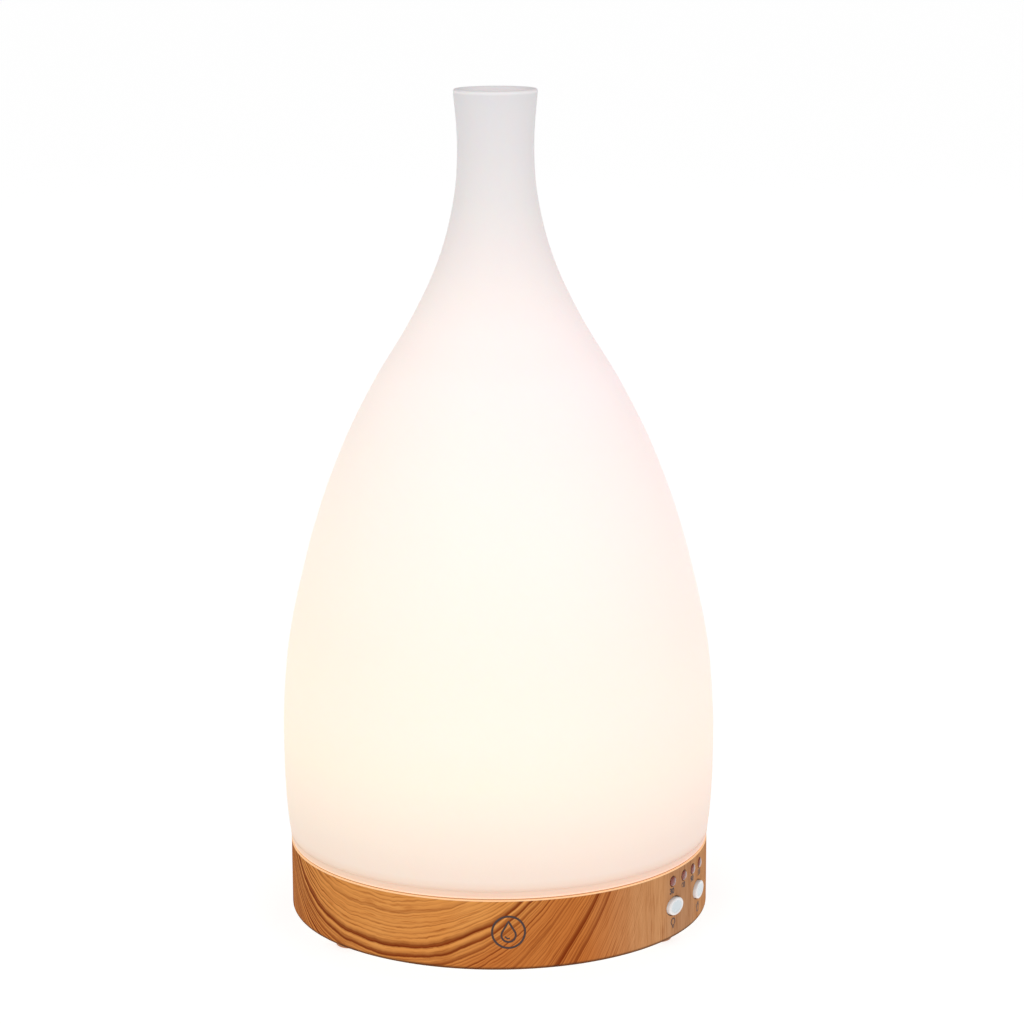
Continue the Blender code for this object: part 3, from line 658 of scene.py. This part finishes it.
def base_housing(film, inside):
    """The drum of the base, wrapped in the wood-grain film, with its holes and screw posts."""
    inner = BASE_RADIUS - BASE_WALL
    ceiling = BASE_TOP - DECK_THICKNESS
    corners = [
        (DECK_OPENING, BASE_TOP, 0.25),
        (BASE_RADIUS, BASE_TOP, 0.55),
        (BASE_RADIUS, BASE_BOTTOM, BASE_FILLET),
        (inner, BASE_BOTTOM, 0.2),
        (inner, ceiling, 0.3),
        (DECK_OPENING, ceiling, 0.25),
    ]
    steps = []
    foot = COVER_HIGH.z + GAP
    for azimuth in BOSS_AZIMUTHS:
        spot = moved(around(azimuth, BOSS_RING))
        post = rod(3.2 * MM, foot, BASE_TOP - DECK_THICKNESS / 2)
        hole = rod(1.25 * MM, foot - 1 * MM, foot + 9 * MM, 24)
        steps += [(JOIN, post, spot), (CUT, hole, spot)]
    half_height = BUTTON_HALF_HEIGHT + BUTTON_CLEARANCE
    stretch = (BUTTON_HALF_WIDTH + BUTTON_CLEARANCE) / half_height
    for azimuth in BUTTON_AZIMUTHS.values():
        steps.append(wall_cut(azimuth, BUTTON_HEIGHT, half_height, 0.15 * MM, stretch))
    for azimuth in LENS_AZIMUTHS:
        steps.append(wall_cut(azimuth, LENS_HEIGHT, LENS_RADIUS + 0.2 * MM, 0.1 * MM))
    steps.append(wall_cut(JACK_AZIMUTH, JACK_HEIGHT, JACK_BARREL + 0.35 * MM, 0.2 * MM))
    bm = carved(lathe(rounded(corners, steps=6), 256), steps)
    for face in bm.faces:
        middle = face.calc_center_median()
        near_wall = hypot(middle.x, middle.y) > BASE_RADIUS - 1.6 * MM
        face.material_index = 0 if near_wall and face.normal.dot(middle) > -1e-6 else 1
    piece("wood_grain_housing", bm, "base", [film, inside], ["base_housing"])


def bottom_cover(plastic):
    """The plate under the base: air slots, counterbored screw holes and two shallow grooves."""
    low, high, radius = COVER_LOW.z, COVER_HIGH.z, COVER_HIGH.x
    corners = [(0, high, 0), (radius, high, 0.2), (radius, low, 0.4)]
    width, slope = 1.4 * MM, 0.3 * MM
    for out, depth in ((radius - 3.2 * MM, 0.35 * MM), (31 * MM, 0.3 * MM)):
        corners += [
            (out, low, 0.15),
            (out - slope, low + depth, 0.15),
            (out - width + slope, low + depth, 0.15),
            (out - width, low, 0.15),
        ]
    corners.append((0, low, 0))
    fan_y = centre("fan_housing").y
    steps = []
    for i in range(-2, 3):
        half = (SLOTS_RADIUS**2 - (i * SLOT_PITCH) ** 2) ** 0.5
        slot = block((2 * half, SLOT_WIDTH, 8 * MM), 1.05 * MM, 8, upright=True)
        steps.append((CUT, slot, moved((0, fan_y + i * SLOT_PITCH, low))))
    for azimuth in BOSS_AZIMUTHS:
        spot = moved(around(azimuth, BOSS_RING))
        hole, sink = rod(1.5 * MM, 0, 6 * MM, 32), rod(3.0 * MM, 0, low + 1.1 * MM, 48)
        steps += [(CUT, hole, spot), (CUT, sink, spot)]
    bm = carved(lathe(rounded(corners, steps=3), 160), steps)
    piece("vented_cover_plate", bm, "base", [plastic], ["bottom_cover"])


def cover_screws(steel):
    """Pan-head screws with cross recesses, heads down."""
    for i, azimuth in enumerate(BOSS_AZIMUTHS, 1):
        node = f"cover_screw_{i}"
        low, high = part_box(node)
        head = (high.x - low.x) / 2
        shank = 0.75 * MM
        under = low.z + 0.8 * MM
        corners = [
            (0, high.z, 0),
            (0.3 * MM, high.z, 0.1),
            (shank, high.z - 1.2 * MM, 0.1),
            (shank, under, 0),
            (head, under, 0.1),
            (head, low.z + 0.25 * MM, 0.3),
            (head * 0.55, low.z, 0.4),
            (0, low.z, 0),
        ]
        steps = []
        for turn in (0, 90):
            arm = block((head * 1.1, 0.55 * MM, 1.0 * MM), 0.08 * MM, 2)
            place = moved((0, 0, low.z)) @ Matrix.Rotation(radians(turn + 17 * i), 4, "Z")
            steps.append((CUT, arm, place))
        bm = carved(lathe(rounded(corners, steps=4), 48), steps)
        spot = moved(centre(node))
        piece(f"cross_head_screw_{i}", bm, "base", [steel], [node], spot)


def feet(rubber):
    """Clear amber bumpers with a rolled edge and a dished sole."""
    for side in ("front_left", "front_right", "back_left", "back_right"):
        node = f"foot_{side}"
        low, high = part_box(node)
        radius = (high.x - low.x) / 2
        corners = [
            (0, high.z, 0),
            (radius, high.z, 0.3),
            (radius, low.z, 1.1),
            (radius * 0.62, low.z, 0.3),
            (radius * 0.5, low.z + 0.35 * MM, 0.3),
            (0, low.z + 0.5 * MM, 0),
        ]
        bm = lathe(rounded(corners), 64)
        spot = moved(centre(node))
        piece(f"bumper_{side}", bm, "base", [rubber], [node], spot)


def buttons(white, face):
    """Oval push buttons: a rolled border round a slightly sunken face, and a flange behind the wall."""
    flange = -BASE_WALL - 0.6 * MM
    back = flange - 0.9 * MM
    radius = BUTTON_HALF_HEIGHT
    sunk = BUTTON_PROUD - 0.16 * MM
    for name, azimuth in BUTTON_AZIMUTHS.items():
        corners = [
            (0, sunk, 0),
            (radius * 0.66, sunk, 0.5),
            (radius * 0.8, BUTTON_PROUD, 0.5),
            (radius, BUTTON_PROUD - 0.18 * MM, 0.45),
            (radius, flange, 0.1),
            (radius + BUTTON_FLANGE, flange, 0.1),
            (radius + BUTTON_FLANGE, back, 0.1),
            (0, back, 0),
        ]
        bm = lathe(rounded(corners), 80)
        for part in bm.faces:
            reach = max(hypot(v.co.x, v.co.y) for v in part.verts)
            # The sunken face takes a bluish colour, a painted reflection of cool light.
            part.material_index = int(part.calc_center_median().z > 0 and reach < radius * 0.72)
        widened(bm, BUTTON_HALF_WIDTH / BUTTON_HALF_HEIGHT)
        place = outward(azimuth, BASE_RADIUS, BUTTON_HEIGHT)
        node = f"{name}_button"
        piece(f"{name}_push_button", bm, node, [white, face], [node], place)


def lenses(amber):
    """The timer's indicator lenses, domed outside."""
    tail = -BASE_WALL - 1.0 * MM
    proud = 0.6 * MM
    for i, azimuth in enumerate(LENS_AZIMUTHS, 1):
        turns = [radians(9 * k) for k in range(10)]
        crown = [(LENS_RADIUS * sin(turn), proud - 0.62 * MM * (1 - cos(turn)), 0) for turn in turns]
        corners = crown + [(LENS_RADIUS, tail, 0.1), (0, tail, 0)]
        place = outward(azimuth, BASE_RADIUS, LENS_HEIGHT)
        bm = lathe(rounded(corners), 48)
        piece(f"timer_lens_{i}", bm, "base", [amber], [f"indicator_lens_{i}"], place)


def power_inlet(black, nickel):
    """The inlet at the back: a round collar with its socket, the body behind it, and the centre pin."""
    face = BASE_RADIUS - BASE_WALL - 0.6 * MM
    depth = 10.8 * MM
    end = BASE_RADIUS - 0.2 * MM - face
    socket_end = -6.5 * MM
    place = outward(JACK_AZIMUTH, face, JACK_HEIGHT)
    body = block((9 * MM, 9.6 * MM, depth), 0.3 * MM)
    bmesh.ops.translate(body, verts=body.verts, vec=(0, 0, -depth / 2))
    barrel = [(0, -1 * MM, 0), (JACK_BARREL, -1 * MM, 0), (JACK_BARREL, end, 0.35), (0, end, 0)]
    collar = lathe(rounded(barrel), 64)
    bore = [
        (0, socket_end),
        (JACK_SOCKET, socket_end),
        (JACK_SOCKET, end - 0.4 * MM),
        (JACK_SOCKET + 0.5 * MM, end + 0.1 * MM),
        (JACK_SOCKET + 0.5 * MM, end + 2 * MM),
        (0, end + 2 * MM),
    ]
    still = Matrix.Identity(4)
    bm = carved(body, [(JOIN, collar, still), (CUT, lathe(bore, 56), still)])
    piece("power_inlet_socket", bm, "base", [black], ["dc_jack"], place)
    pin = [
        (0, socket_end + 0.2 * MM, 0),
        (1.0 * MM, socket_end + 0.2 * MM, 0.1),
        (1.0 * MM, end - 1.5 * MM, 0.45),
        (0.35 * MM, end - 1.5 * MM, 0.1),
        (0.35 * MM, end - 2.6 * MM, 0.1),
        (0, end - 2.6 * MM, 0),
    ]
    piece("power_inlet_pin", lathe(rounded(pin), 40), "base", [nickel], ["jack_pin"], place)


# ---- prints on the wall -----------------------------------------------------------------------

INK_IN = 0.04 * MM
INK_OUT = 0.03 * MM
EMBLEM_HEIGHT = 15.8 * MM
NUMBER_HEIGHT = 19.35 * MM
NUMBER_SIZE = 2.75 * MM
LIGHT_ICON = 51.6, 7.9 * MM
MIST_ICON = 67.4, 7.5 * MM


def on_wall(bm, azimuth, height):
    """Bends flat work (x along, y up, z out) round the wall."""
    for v in bm.verts:
        x, y, z = v.co
        v.co = around(azimuth + degrees(x / BASE_RADIUS), BASE_RADIUS + z, height + y)


def stroke(bm, points, width, closed=False):
    """A band of ink along a line of (x, y) points in millimetres, as a thin closed solid."""
    places = [Vector(p) * MM for p in points]
    count = len(places)
    section = ((1, INK_OUT), (-1, INK_OUT), (-1, -INK_IN), (1, -INK_IN))
    rows = []
    for i, here in enumerate(places):
        before = places[i - 1] if i or closed else here
        after = places[(i + 1) % count] if i < count - 1 or closed else here
        along = (after - before).normalized()
        side = Vector((-along.y, along.x)) * width * MM / 2
        rows.append([bm.verts.new((*(here + sign * side), z)) for sign, z in section])
    for one, two in zip(rows, rows[1:] + rows[:1] if closed else rows[1:]):
        for k in range(4):
            bm.faces.new((one[k], one[(k + 1) % 4], two[(k + 1) % 4], two[k]))
    if not closed:
        bm.faces.new(rows[0])
        bm.faces.new(rows[-1][::-1])


def circle(x, y, radius, start=0, end=360, steps=48):
    turn = range(steps if end - start == 360 else steps + 1)
    angles = [radians(start + (end - start) * i / steps) for i in turn]
    return [(x + radius * cos(a), y + radius * sin(a)) for a in angles]


def drop(x, y, radius, tip):
    """A water drop's outline: a round belly, its sides straight up to the tip."""
    lift = degrees(acos(radius / tip))
    points = circle(x, y, radius, 90 + lift, 450 - lift, 40)
    last, first = Vector(points[-1]), Vector(points[0])
    top = Vector((x, y + tip))
    rising = [tuple(last.lerp(top, k / 6)) for k in range(1, 7)]
    falling = [tuple(top.lerp(first, k / 6)) for k in range(1, 6)]
    return points + rising + falling


def print_mark(name, spot, ink, strokes):
    """A mark made of strokes, round a spot given by its azimuth and height."""
    bm = bmesh.new()
    for points, width, closed in strokes:
        stroke(bm, points, width, closed)
    bmesh.ops.recalc_face_normals(bm, faces=bm.faces)
    on_wall(bm, *spot)
    piece(name, bm, "base", [ink])


def number(name, text, squeeze, spot, ink):
    """A printed number, cut from Blender's own plain face."""
    curve = bpy.data.curves.new(name, "FONT")
    curve.body = text
    curve.size = NUMBER_SIZE
    curve.align_x = "CENTER"
    curve.align_y = "CENTER"
    curve.offset = NUMBER_SIZE * 0.04
    curve.extrude = (INK_IN + INK_OUT) / 2
    source = linked("helper", curve)
    graph = bpy.context.evaluated_depsgraph_get()
    flat = bpy.data.meshes.new_from_object(source.evaluated_get(graph))
    bm = bmesh.new()
    bm.from_mesh(flat)
    bpy.data.objects.remove(source, do_unlink=True)
    bpy.data.meshes.remove(flat)
    bmesh.ops.remove_doubles(bm, verts=bm.verts, dist=1e-7)
    bmesh.ops.scale(bm, verts=bm.verts, vec=(squeeze, 1, 1))
    bmesh.ops.translate(bm, verts=bm.verts, vec=(0, 0, (INK_OUT - INK_IN) / 2))
    on_wall(bm, *spot)
    piece(name, bm, "base", [ink])


def prints(ink):
    """A drop in a ring at the front, numbers under the lenses, and icons under the buttons."""
    emblem = [
        (circle(0, 0, 5.4, steps=96), 0.7, True),
        (drop(0, -1.0, 2.35, 4.7), 0.65, True),
        (circle(0, -1.0, 1.2, 200, 290, 12), 0.5, False),
    ]
    print_mark("front_emblem", (0, EMBLEM_HEIGHT), ink, emblem)
    for i, (azimuth, text) in enumerate(zip(LENS_AZIMUTHS, ("30", "60", "90", "120")), 1):
        squeeze = 0.78 if len(text) > 2 else 0.98
        number(f"timer_number_{i}", text, squeeze, (azimuth - 0.5, NUMBER_HEIGHT), ink)
    bulb = [
        (circle(0, 0.5, 1.15, -58, 238, 28), 0.46, False),
        ([(-0.6, -0.78), (0.6, -0.78)], 0.34, False),
        ([(-0.5, -1.25), (0.5, -1.25)], 0.34, False),
        ([(-0.25, -1.68), (0.25, -1.68)], 0.34, False),
    ]
    print_mark("light_icon", LIGHT_ICON, ink, bulb)
    mist = [(drop(0, -0.6, 1.0, 2.4), 0.42, True)]
    mist += [([(s * 1.6, 0.1), (s * 1.4, 0.8), (s * 1.7, 1.4)], 0.36, False) for s in (-1, 1)]
    print_mark("mist_icon", MIST_ICON, ink, mist)


# ---- glass cover ------------------------------------------------------------------------------


def shade_outline():
    """The outside of the glass as closely set (radius, height) points on a smooth curve."""
    stations = [(z * MM, r * MM) for z, r in SHADE_OUTLINE]
    slopes = []
    for i in range(len(stations)):
        low, high = stations[max(i - 1, 0)], stations[min(i + 1, len(stations) - 1)]
        slopes.append((high[1] - low[1]) / (high[0] - low[0]))
    points = []
    parts = 9
    last = len(stations) - 2
    for k in range(last + 1):
        (z0, r0), (z1, r1) = stations[k], stations[k + 1]
        span = z1 - z0
        for i in range(parts + (k == last)):
            t = i / parts
            radius = (
                (2 * t**3 - 3 * t**2 + 1) * r0
                + (t**3 - 2 * t**2 + t) * span * slopes[k]
                + (3 * t**2 - 2 * t**3) * r1
                + (t**3 - t**2) * span * slopes[k + 1]
            )
            points.append(Vector((min(radius, SHADE_HIGH.x), z0 + span * t)))
    return points


def glass_cover(glass):
    """The bottle-shaped cover: rounded lips, and a fine step above its foot."""
    outer = shade_outline()
    inner = []
    for i, point in enumerate(outer):
        along = (outer[min(i + 1, len(outer) - 1)] - outer[max(i - 1, 0)]).normalized()
        inner.append(point + SHADE_WALL * Vector((-along.y, along.x)))
    height = outer[-1].y
    step_low, step_high = 2.5 * MM, 3.0 * MM
    skin = [point for point in outer[1:-1] if point.y > step_high + 0.3 * MM]
    radius_at = outer[0].x + (outer[1].x - outer[0].x) * step_high / outer[1].y
    foot = [
        (radius_at, step_high),
        (radius_at - 0.16 * MM, (step_low + step_high) / 2),
        (radius_at - 0.02 * MM, step_low),
    ]
    lip = SHADE_WALL / MM * 0.46
    top = [(*outer[-2], 0), (outer[-1].x, height, lip), (inner[-1].x, height, lip), (*inner[-2], 0)]
    base = [(*inner[1], 0), (inner[0].x, 0, lip * 0.6), (outer[0].x, 0, lip * 0.7), (*foot[-1], 0)]
    top, base = [rounded(corners, steps=8)[1:-1] for corners in (top, base)]
    bm = lathe([*skin, *top, *reversed(inner[1:-1]), *base, *reversed(foot)], 224)
    place = moved((0, 0, SHADE_LOW.z))
    piece("frosted_glass_cover", bm, "shade", [glass], ["glass_shade"], place, angle=50)


# ---- tank and lid -----------------------------------------------------------------------------


def water_tank(plastic):
    """The tank: a bowl on a flange, with the glass's collar, the snorkel, and a fill line."""
    top, low = TANK_HIGH.z, 13.0 * MM
    deck = BASE_TOP + GAP
    wall = 2.0 * MM
    rim, flange, floor_radius = TANK_RIM, TANK_HIGH.x, 40.0 * MM
    neck = rim - 5.0 * MM
    floor, fill_line = low + wall, 43.0 * MM
    corners = [
        (rim, top, 0.5),
        (rim - 1.5 * MM, deck + wall, 0.8),
        (flange - wall, deck + wall, 0.6),
        (flange - wall, deck + wall + 4.0 * MM, 0.7),
        (flange, deck + wall + 4.0 * MM, 0.7),
        (flange, deck, 0.3),
        (neck, deck, 0.3),
        (floor_radius + wall, low + 3 * MM, 1.0),
        (floor_radius - 1.5 * MM, low, 0.8),
        (8.5 * MM, low, 0.3),
        (8.5 * MM, floor, 0.5),
        (floor_radius - 3 * MM, floor, 1.5),
        (floor_radius, floor + 2.5 * MM, 1.5),
        (neck - wall, deck, 1.5),
        (rim - 1.5 * MM - wall, deck + wall + 1.5 * MM, 1.5),
        (rim - 1.1 * wall - 0.5 * MM, fill_line, 0.1),
        (rim - 1.1 * wall - 0.15 * MM, fill_line + 0.4 * MM, 0.1),
        (rim - wall, top, 0.5),
    ]
    foot, head, radius = floor - wall / 2, 46.0 * MM, 5.6 * MM
    pipe = [(0, foot, 0), (radius, foot, 0), (radius, head, 0.5), (0, head, 0)]
    bore = rod(radius - 1.2 * MM, low - 2 * MM, head + 2 * MM, 48)
    spot = moved((0, 30 * MM, 0))
    steps = [(JOIN, lathe(rounded(pipe), 56), spot), (CUT, bore, spot)]
    for azimuth in (0, 120, 240):
        spot = moved(around(azimuth, 14.8 * MM))
        boss = rod(2.4 * MM, low - 1.7 * MM, low + wall / 2, 32)
        hole = rod(1.0 * MM, low - 3 * MM, low - 0.1 * MM, 24)
        steps += [(JOIN, boss, spot), (CUT, hole, spot)]
    bm = carved(lathe(rounded(corners), 160), steps)
    piece("clear_water_tank", bm, "base", [plastic], ["water_tank"])


def tank_lid(plastic):
    """The domed lid, with finger notches moulded in its skirt."""
    rim = TANK_RIM
    skirt_out, skirt_in = rim + 2.4 * MM, rim + 0.8 * MM
    seat = TANK_HIGH.z + GAP
    collar_out, collar_in = 12.2 * MM, 9.3 * MM
    crown, shoulder = 74.0 * MM, 56.0 * MM
    low, top = LID_LOW.z, LID_HIGH.z
    corners = [
        (collar_out, top, 0.4),
        (collar_out, crown, 1.0),
        (30 * MM, crown - 3.6 * MM, 6),
        (44 * MM, crown - 8.8 * MM, 6),
        (skirt_out - 2 * MM, shoulder + 3 * MM, 2.0),
        (skirt_out, shoulder, 1.2),
        (skirt_out, low, 0.4),
        (skirt_in, low, 0.3),
        (skirt_in, seat, 0.2),
        (rim - 2 * MM, seat, 0.4),
        (rim - 3 * MM, shoulder, 1.0),
        (44 * MM, crown - 11 * MM, 6),
        (30 * MM, crown - 5.6 * MM, 6),
        (collar_in, crown - 2 * MM, 0.5),
        (collar_in, top, 0.3),
    ]
    steps = []
    for i in range(24):
        azimuth = 15 * i
        if azimuth % 90 in (30, 45, 60):
            notch = rod(1.3 * MM, low - 1 * MM, shoulder - 1.5 * MM, 24)
            steps.append((CUT, notch, moved(around(azimuth, skirt_out + 0.75 * MM))))
    bm = carved(lathe(rounded(corners, steps=7), 168), steps)
    piece("domed_tank_lid", bm, "lid", [plastic], ["reservoir_lid"])


def mist_chimney(plastic):
    """The mist tube, with its seating flange, a rounded mouth and a groove below it."""
    low, top = CHIMNEY_LOW.z, CHIMNEY_HIGH.z
    flange_out = CHIMNEY_HIGH.x
    flange_low = LID_HIGH.z + GAP
    radius, bore, groove = 9.0 * MM, 7.4 * MM, 91.9 * MM
    corners = [
        (radius - 0.8 * MM, top, 0.35),
        (radius - 0.45 * MM, groove + 0.7 * MM, 0.2),
        (radius - 0.7 * MM, groove + 0.3 * MM, 0.1),
        (radius - 0.7 * MM, groove - 0.3 * MM, 0.1),
        (radius - 0.4 * MM, groove - 0.7 * MM, 0.2),
        (radius, flange_low + 1.5 * MM, 0.8),
        (flange_out, flange_low + 1.5 * MM, 0.4),
        (flange_out, flange_low, 0.3),
        (radius, flange_low, 0.2),
        (radius, low, 0.4),
        (bore, low, 0.3),
        (bore, top, 0.35),
    ]
    bm = lathe(rounded(corners), 96)
    piece("mist_tube", bm, "lid", [plastic], ["mist_chimney"])


# ---- the pieces that keep the frame's own shapes ----------------------------------------------


def dress(material, *names):
    """Gives CAD nodes that stay a better material. A name with * at its end takes all that start so."""
    for name in names:
        for node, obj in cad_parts.items():
            if node == name or (name.endswith("*") and node.startswith(name[:-1])):
                obj.data.materials.clear()
                obj.data.materials.append(material)
                shaded(obj.data)


def dress_frame(black):
    silicone = moulded("clear_silicone", srgb(214, 212, 206), 0.55, 0.4, 0.01)
    dress(silicone, "tank_gasket", "piezo_seal", "fan_seal")
    ceramic = Surface("fired_ceramic", Roughness=0.45)
    silver = ceramic.step(ceramic.from_axis(), 7.4, 7.0)
    fired = ceramic.mix(ceramic.noise(0.8, detail=4.0), srgb(196, 184, 158), srgb(222, 214, 190))
    plated = ceramic.mix(ceramic.noise(1.5, detail=3.0), srgb(168, 166, 160), srgb(204, 202, 198))
    ceramic.set(Base_Color=ceramic.mix(silver, fired, plated))
    ceramic.set(Metallic=ceramic.times(silver, 0.8))
    ceramic.bump(ceramic.noise(0.3), 0.01)
    dress(ceramic.material, "piezo_disc")
    dress(metal("stamped_steel", srgb(196, 194, 190), 0.35, (1, 0.1, 1)), "piezo_retainer")
    dress(metal("turned_steel", srgb(190, 188, 184), 0.3, (1, 1, 0.1)), "retainer_screw_*", "fan_shaft")
    dress(black, "fan_housing", "fan_rotor", "drive_transistor", "light_switch_*", "mist_switch_*")
    dress(winding("enamelled_copper", srgb(178, 98, 52), srgb(62, 26, 12)), "fan_stator")
    dress(winding("coil_on_ferrite", srgb(150, 84, 50), srgb(40, 38, 40), 0.6), "drive_coil")
    green = circuit("green_circuit", srgb(24, 92, 52), srgb(48, 124, 72), srgb(196, 194, 186))
    dress(green, "drive_board", "control_board")
    pale = circuit("white_circuit", srgb(226, 226, 220), srgb(208, 208, 200), srgb(204, 202, 194))
    dress(pale, "led_ring_board")
    dress(metal("extruded_aluminium", srgb(206, 208, 210), 0.4, (1, 0.06, 1)), "heat_sink")
    sleeve = Surface("capacitor_sleeve", Roughness=0.3)
    stripe = sleeve.step(sleeve.math("SINE", sleeve.times(sleeve.x, 1.3)), 0.86, 0.9)
    shrunk = sleeve.mix(sleeve.noise(3.0), srgb(24, 30, 66), srgb(38, 46, 92))
    sleeve.set(Base_Color=sleeve.mix(stripe, shrunk, srgb(188, 190, 198)))
    sleeve.bump(sleeve.noise(2.0), 0.03)
    dress(sleeve.material, "capacitor_*")
    led = Surface("led_phosphor", Roughness=0.4, Emission_Strength=1.5)
    phosphor = led.mix(led.noise(0.6), srgb(250, 226, 130), srgb(255, 240, 180))
    led.set(Base_Color=phosphor, Emission_Color=phosphor)
    led.bump(led.noise(0.5), 0.02)
    dress(led.material, "mood_led_*")
    dress(moulded("unlit_led", srgb(232, 214, 150), 0.35, 0.3, 0.01), "timer_led_*")


# ---- stage ------------------------------------------------------------------------------------

CAMERA_DISTANCE = 992.0 * MM
CAMERA_HEIGHT = 353.1 * MM
CAMERA_AZIMUTH = -2.3
CAMERA_PITCH = 0.2106
CAMERA_YAW = 0.0050
CAMERA_ROLL = 0.0041
FOCAL_PIXELS = 2961.5
FRAME_PIXELS = 1024
SENSOR = 36.0
FLOOR_REACH = 60.0
LIGHT_AIM = Vector((0, 0, 0.13))


def camera():
    """The camera that was fitted to the photo."""
    data = bpy.data.cameras.new("camera")
    data.sensor_width = SENSOR
    data.lens = FOCAL_PIXELS * SENSOR / FRAME_PIXELS
    data.clip_start, data.clip_end = 0.01, 200.0
    obj = linked("camera", data)
    ahead = Vector((sin(CAMERA_YAW), cos(CAMERA_YAW), 0))
    right = Vector((cos(CAMERA_YAW), -sin(CAMERA_YAW), 0))
    up = ahead * sin(CAMERA_PITCH) + Vector((0, 0, cos(CAMERA_PITCH)))
    forward = ahead * cos(CAMERA_PITCH) - Vector((0, 0, sin(CAMERA_PITCH)))
    rolled_right = right * cos(CAMERA_ROLL) - up * sin(CAMERA_ROLL)
    rolled_up = right * sin(CAMERA_ROLL) + up * cos(CAMERA_ROLL)
    axes = Matrix((rolled_right, rolled_up, -forward)).transposed().to_4x4()
    turn = Matrix.Rotation(radians(CAMERA_AZIMUTH), 4, "Z")
    obj.matrix_world = turn @ moved((0, -CAMERA_DISTANCE, CAMERA_HEIGHT)) @ axes
    bpy.context.scene.camera = obj


def floor():
    """A pale floor that glows a little, and can be seen through from below."""
    bm = bmesh.new()
    bmesh.ops.create_grid(bm, x_segments=4, y_segments=4, size=FLOOR_REACH)
    mesh = mesh_of("floor", bm)
    made = Surface("pale_floor", Roughness=0.9, Base_Color=(0.4, 0.4, 0.4), Specular_IOR_Level=0.1)
    made.set(Emission_Color=(1.0, 1.0, 1.0), Emission_Strength=0.8)
    below = made.add("ShaderNodeNewGeometry").outputs["Backfacing"]
    clear = made.add("ShaderNodeBsdfTransparent").outputs[0]
    both = made.add("ShaderNodeMixShader", {0: below, 1: made.shader.outputs[0], 2: clear})
    made.link(made.tree.nodes["Material Output"].inputs["Surface"], both.outputs[0])
    mesh.materials.append(made.material)
    linked("floor", mesh)


def soft_light(name, place, size, power, colour=(1.0, 1.0, 1.0)):
    """A rectangular lamp that looks at the middle of the object."""
    data = bpy.data.lights.new(name, "AREA")
    data.shape = "RECTANGLE"
    data.size, data.size_y = size
    data.energy = power
    data.color = colour
    obj = linked(name, data)
    aim = LIGHT_AIM - Vector(place)
    obj.matrix_world = moved(place) @ aim.to_track_quat("-Z", "Y").to_matrix().to_4x4()


def stage():
    """The world, white to the camera but dimmer as a light; the floor, the lamps and the camera."""
    scene = bpy.context.scene
    scene.view_settings.view_transform = "Standard"
    world = bpy.data.worlds.new("studio")
    scene.world = world
    world.use_nodes = True
    sky = Nodes(world.node_tree)
    direction = sky.add("ShaderNodeTexCoord").outputs["Generated"]
    depth = sky.add("ShaderNodeSeparateXYZ", {0: direction}).outputs["Y"]
    inputs = {"Value": depth, "From Min": 0.1, "From Max": 0.85, "To Min": 0.55, "To Max": 0.22}
    dimmer = sky.add("ShaderNodeMapRange", inputs).outputs[0]
    seen = sky.add("ShaderNodeLightPath").outputs["Is Camera Ray"]
    strength = sky.add("ShaderNodeMapRange", {"Value": seen, "To Min": dimmer, "To Max": 1.0})
    background = sky.tree.nodes["Background"]
    sky.link(background.inputs["Color"], (1.0, 1.0, 1.0))
    sky.link(background.inputs["Strength"], strength.outputs[0])
    floor()
    soft_light("key", (-0.75, -1.5, 1.2), (1.1, 1.1), 5.0, (1.0, 0.985, 0.96))
    soft_light("fill", (0.95, -1.5, 0.8), (0.9, 1.2), 3.5, (0.98, 0.98, 1.0))
    soft_light("back", (0.3, 1.6, 1.4), (1.4, 0.9), 2.0)
    camera()


# ---- assembly ---------------------------------------------------------------------------------


def build():
    film = wood_print()
    shell_inside = moulded("shell_inside", srgb(205, 170, 130), 0.5)
    plate = moulded("cover_plastic", srgb(208, 202, 192), 0.55, 0.5, 0.03)
    steel = metal("zinc_steel", srgb(200, 198, 194), 0.32)
    clear = {"Transmission_Weight": 0.15, "Coat_Weight": 0.2}
    amber_rubber = moulded("amber_rubber", srgb(186, 116, 58), 0.35, 0.8, 0.02, 0.08, **clear)
    cloudy = {"Transmission_Weight": 0.12, "Subsurface_Weight": 0.3, "Subsurface_Scale": 0.003}
    milky = moulded("milky_plastic", srgb(236, 239, 239), 0.36, 0.5, 0.008, 0.03, **cloudy)
    satin = {"Coat_Weight": 0.2, "Coat_Roughness": 0.15}
    white = moulded("white_plastic", srgb(238, 238, 238), 0.34, 0.4, 0.006, 0.02, **satin)
    gloss = {"Coat_Weight": 0.5, "Coat_Roughness": 0.12}
    button_white = moulded("button_white", srgb(240, 238, 238), 0.28, 0.35, 0.004, 0.015, **gloss)
    # The bluish tint of the button face is a painted reflection.
    button_face_reflection = moulded("button_face_reflection", srgb(216, 226, 231), 0.28, 0.35, 0.004, 0.02, **gloss)
    black = moulded("black_plastic", srgb(30, 30, 32), 0.4, 0.3, 0.015, 0.1)
    nickel = metal("nickel_plate", srgb(206, 200, 188), 0.2, (1, 1, 0.1))
    tinted = {"Transmission_Weight": 0.3, "Coat_Weight": 1.0, "Coat_Roughness": 0.03}
    lens = moulded("smoked_amber", srgb(150, 50, 20), 0.1, 0.5, 0.01, 0.2, **tinted)
    ink = moulded("brown_ink", srgb(64, 40, 36), 0.5, 0.2, 0.01, 0.25)

    base_housing(film, shell_inside)
    bottom_cover(plate)
    cover_screws(steel)
    feet(amber_rubber)
    buttons(button_white, button_face_reflection)
    lenses(lens)
    power_inlet(black, nickel)
    prints(ink)
    glass_cover(frosted_glass())
    water_tank(milky)
    tank_lid(white)
    mist_chimney(white)
    dress_frame(black)


stage()
build()
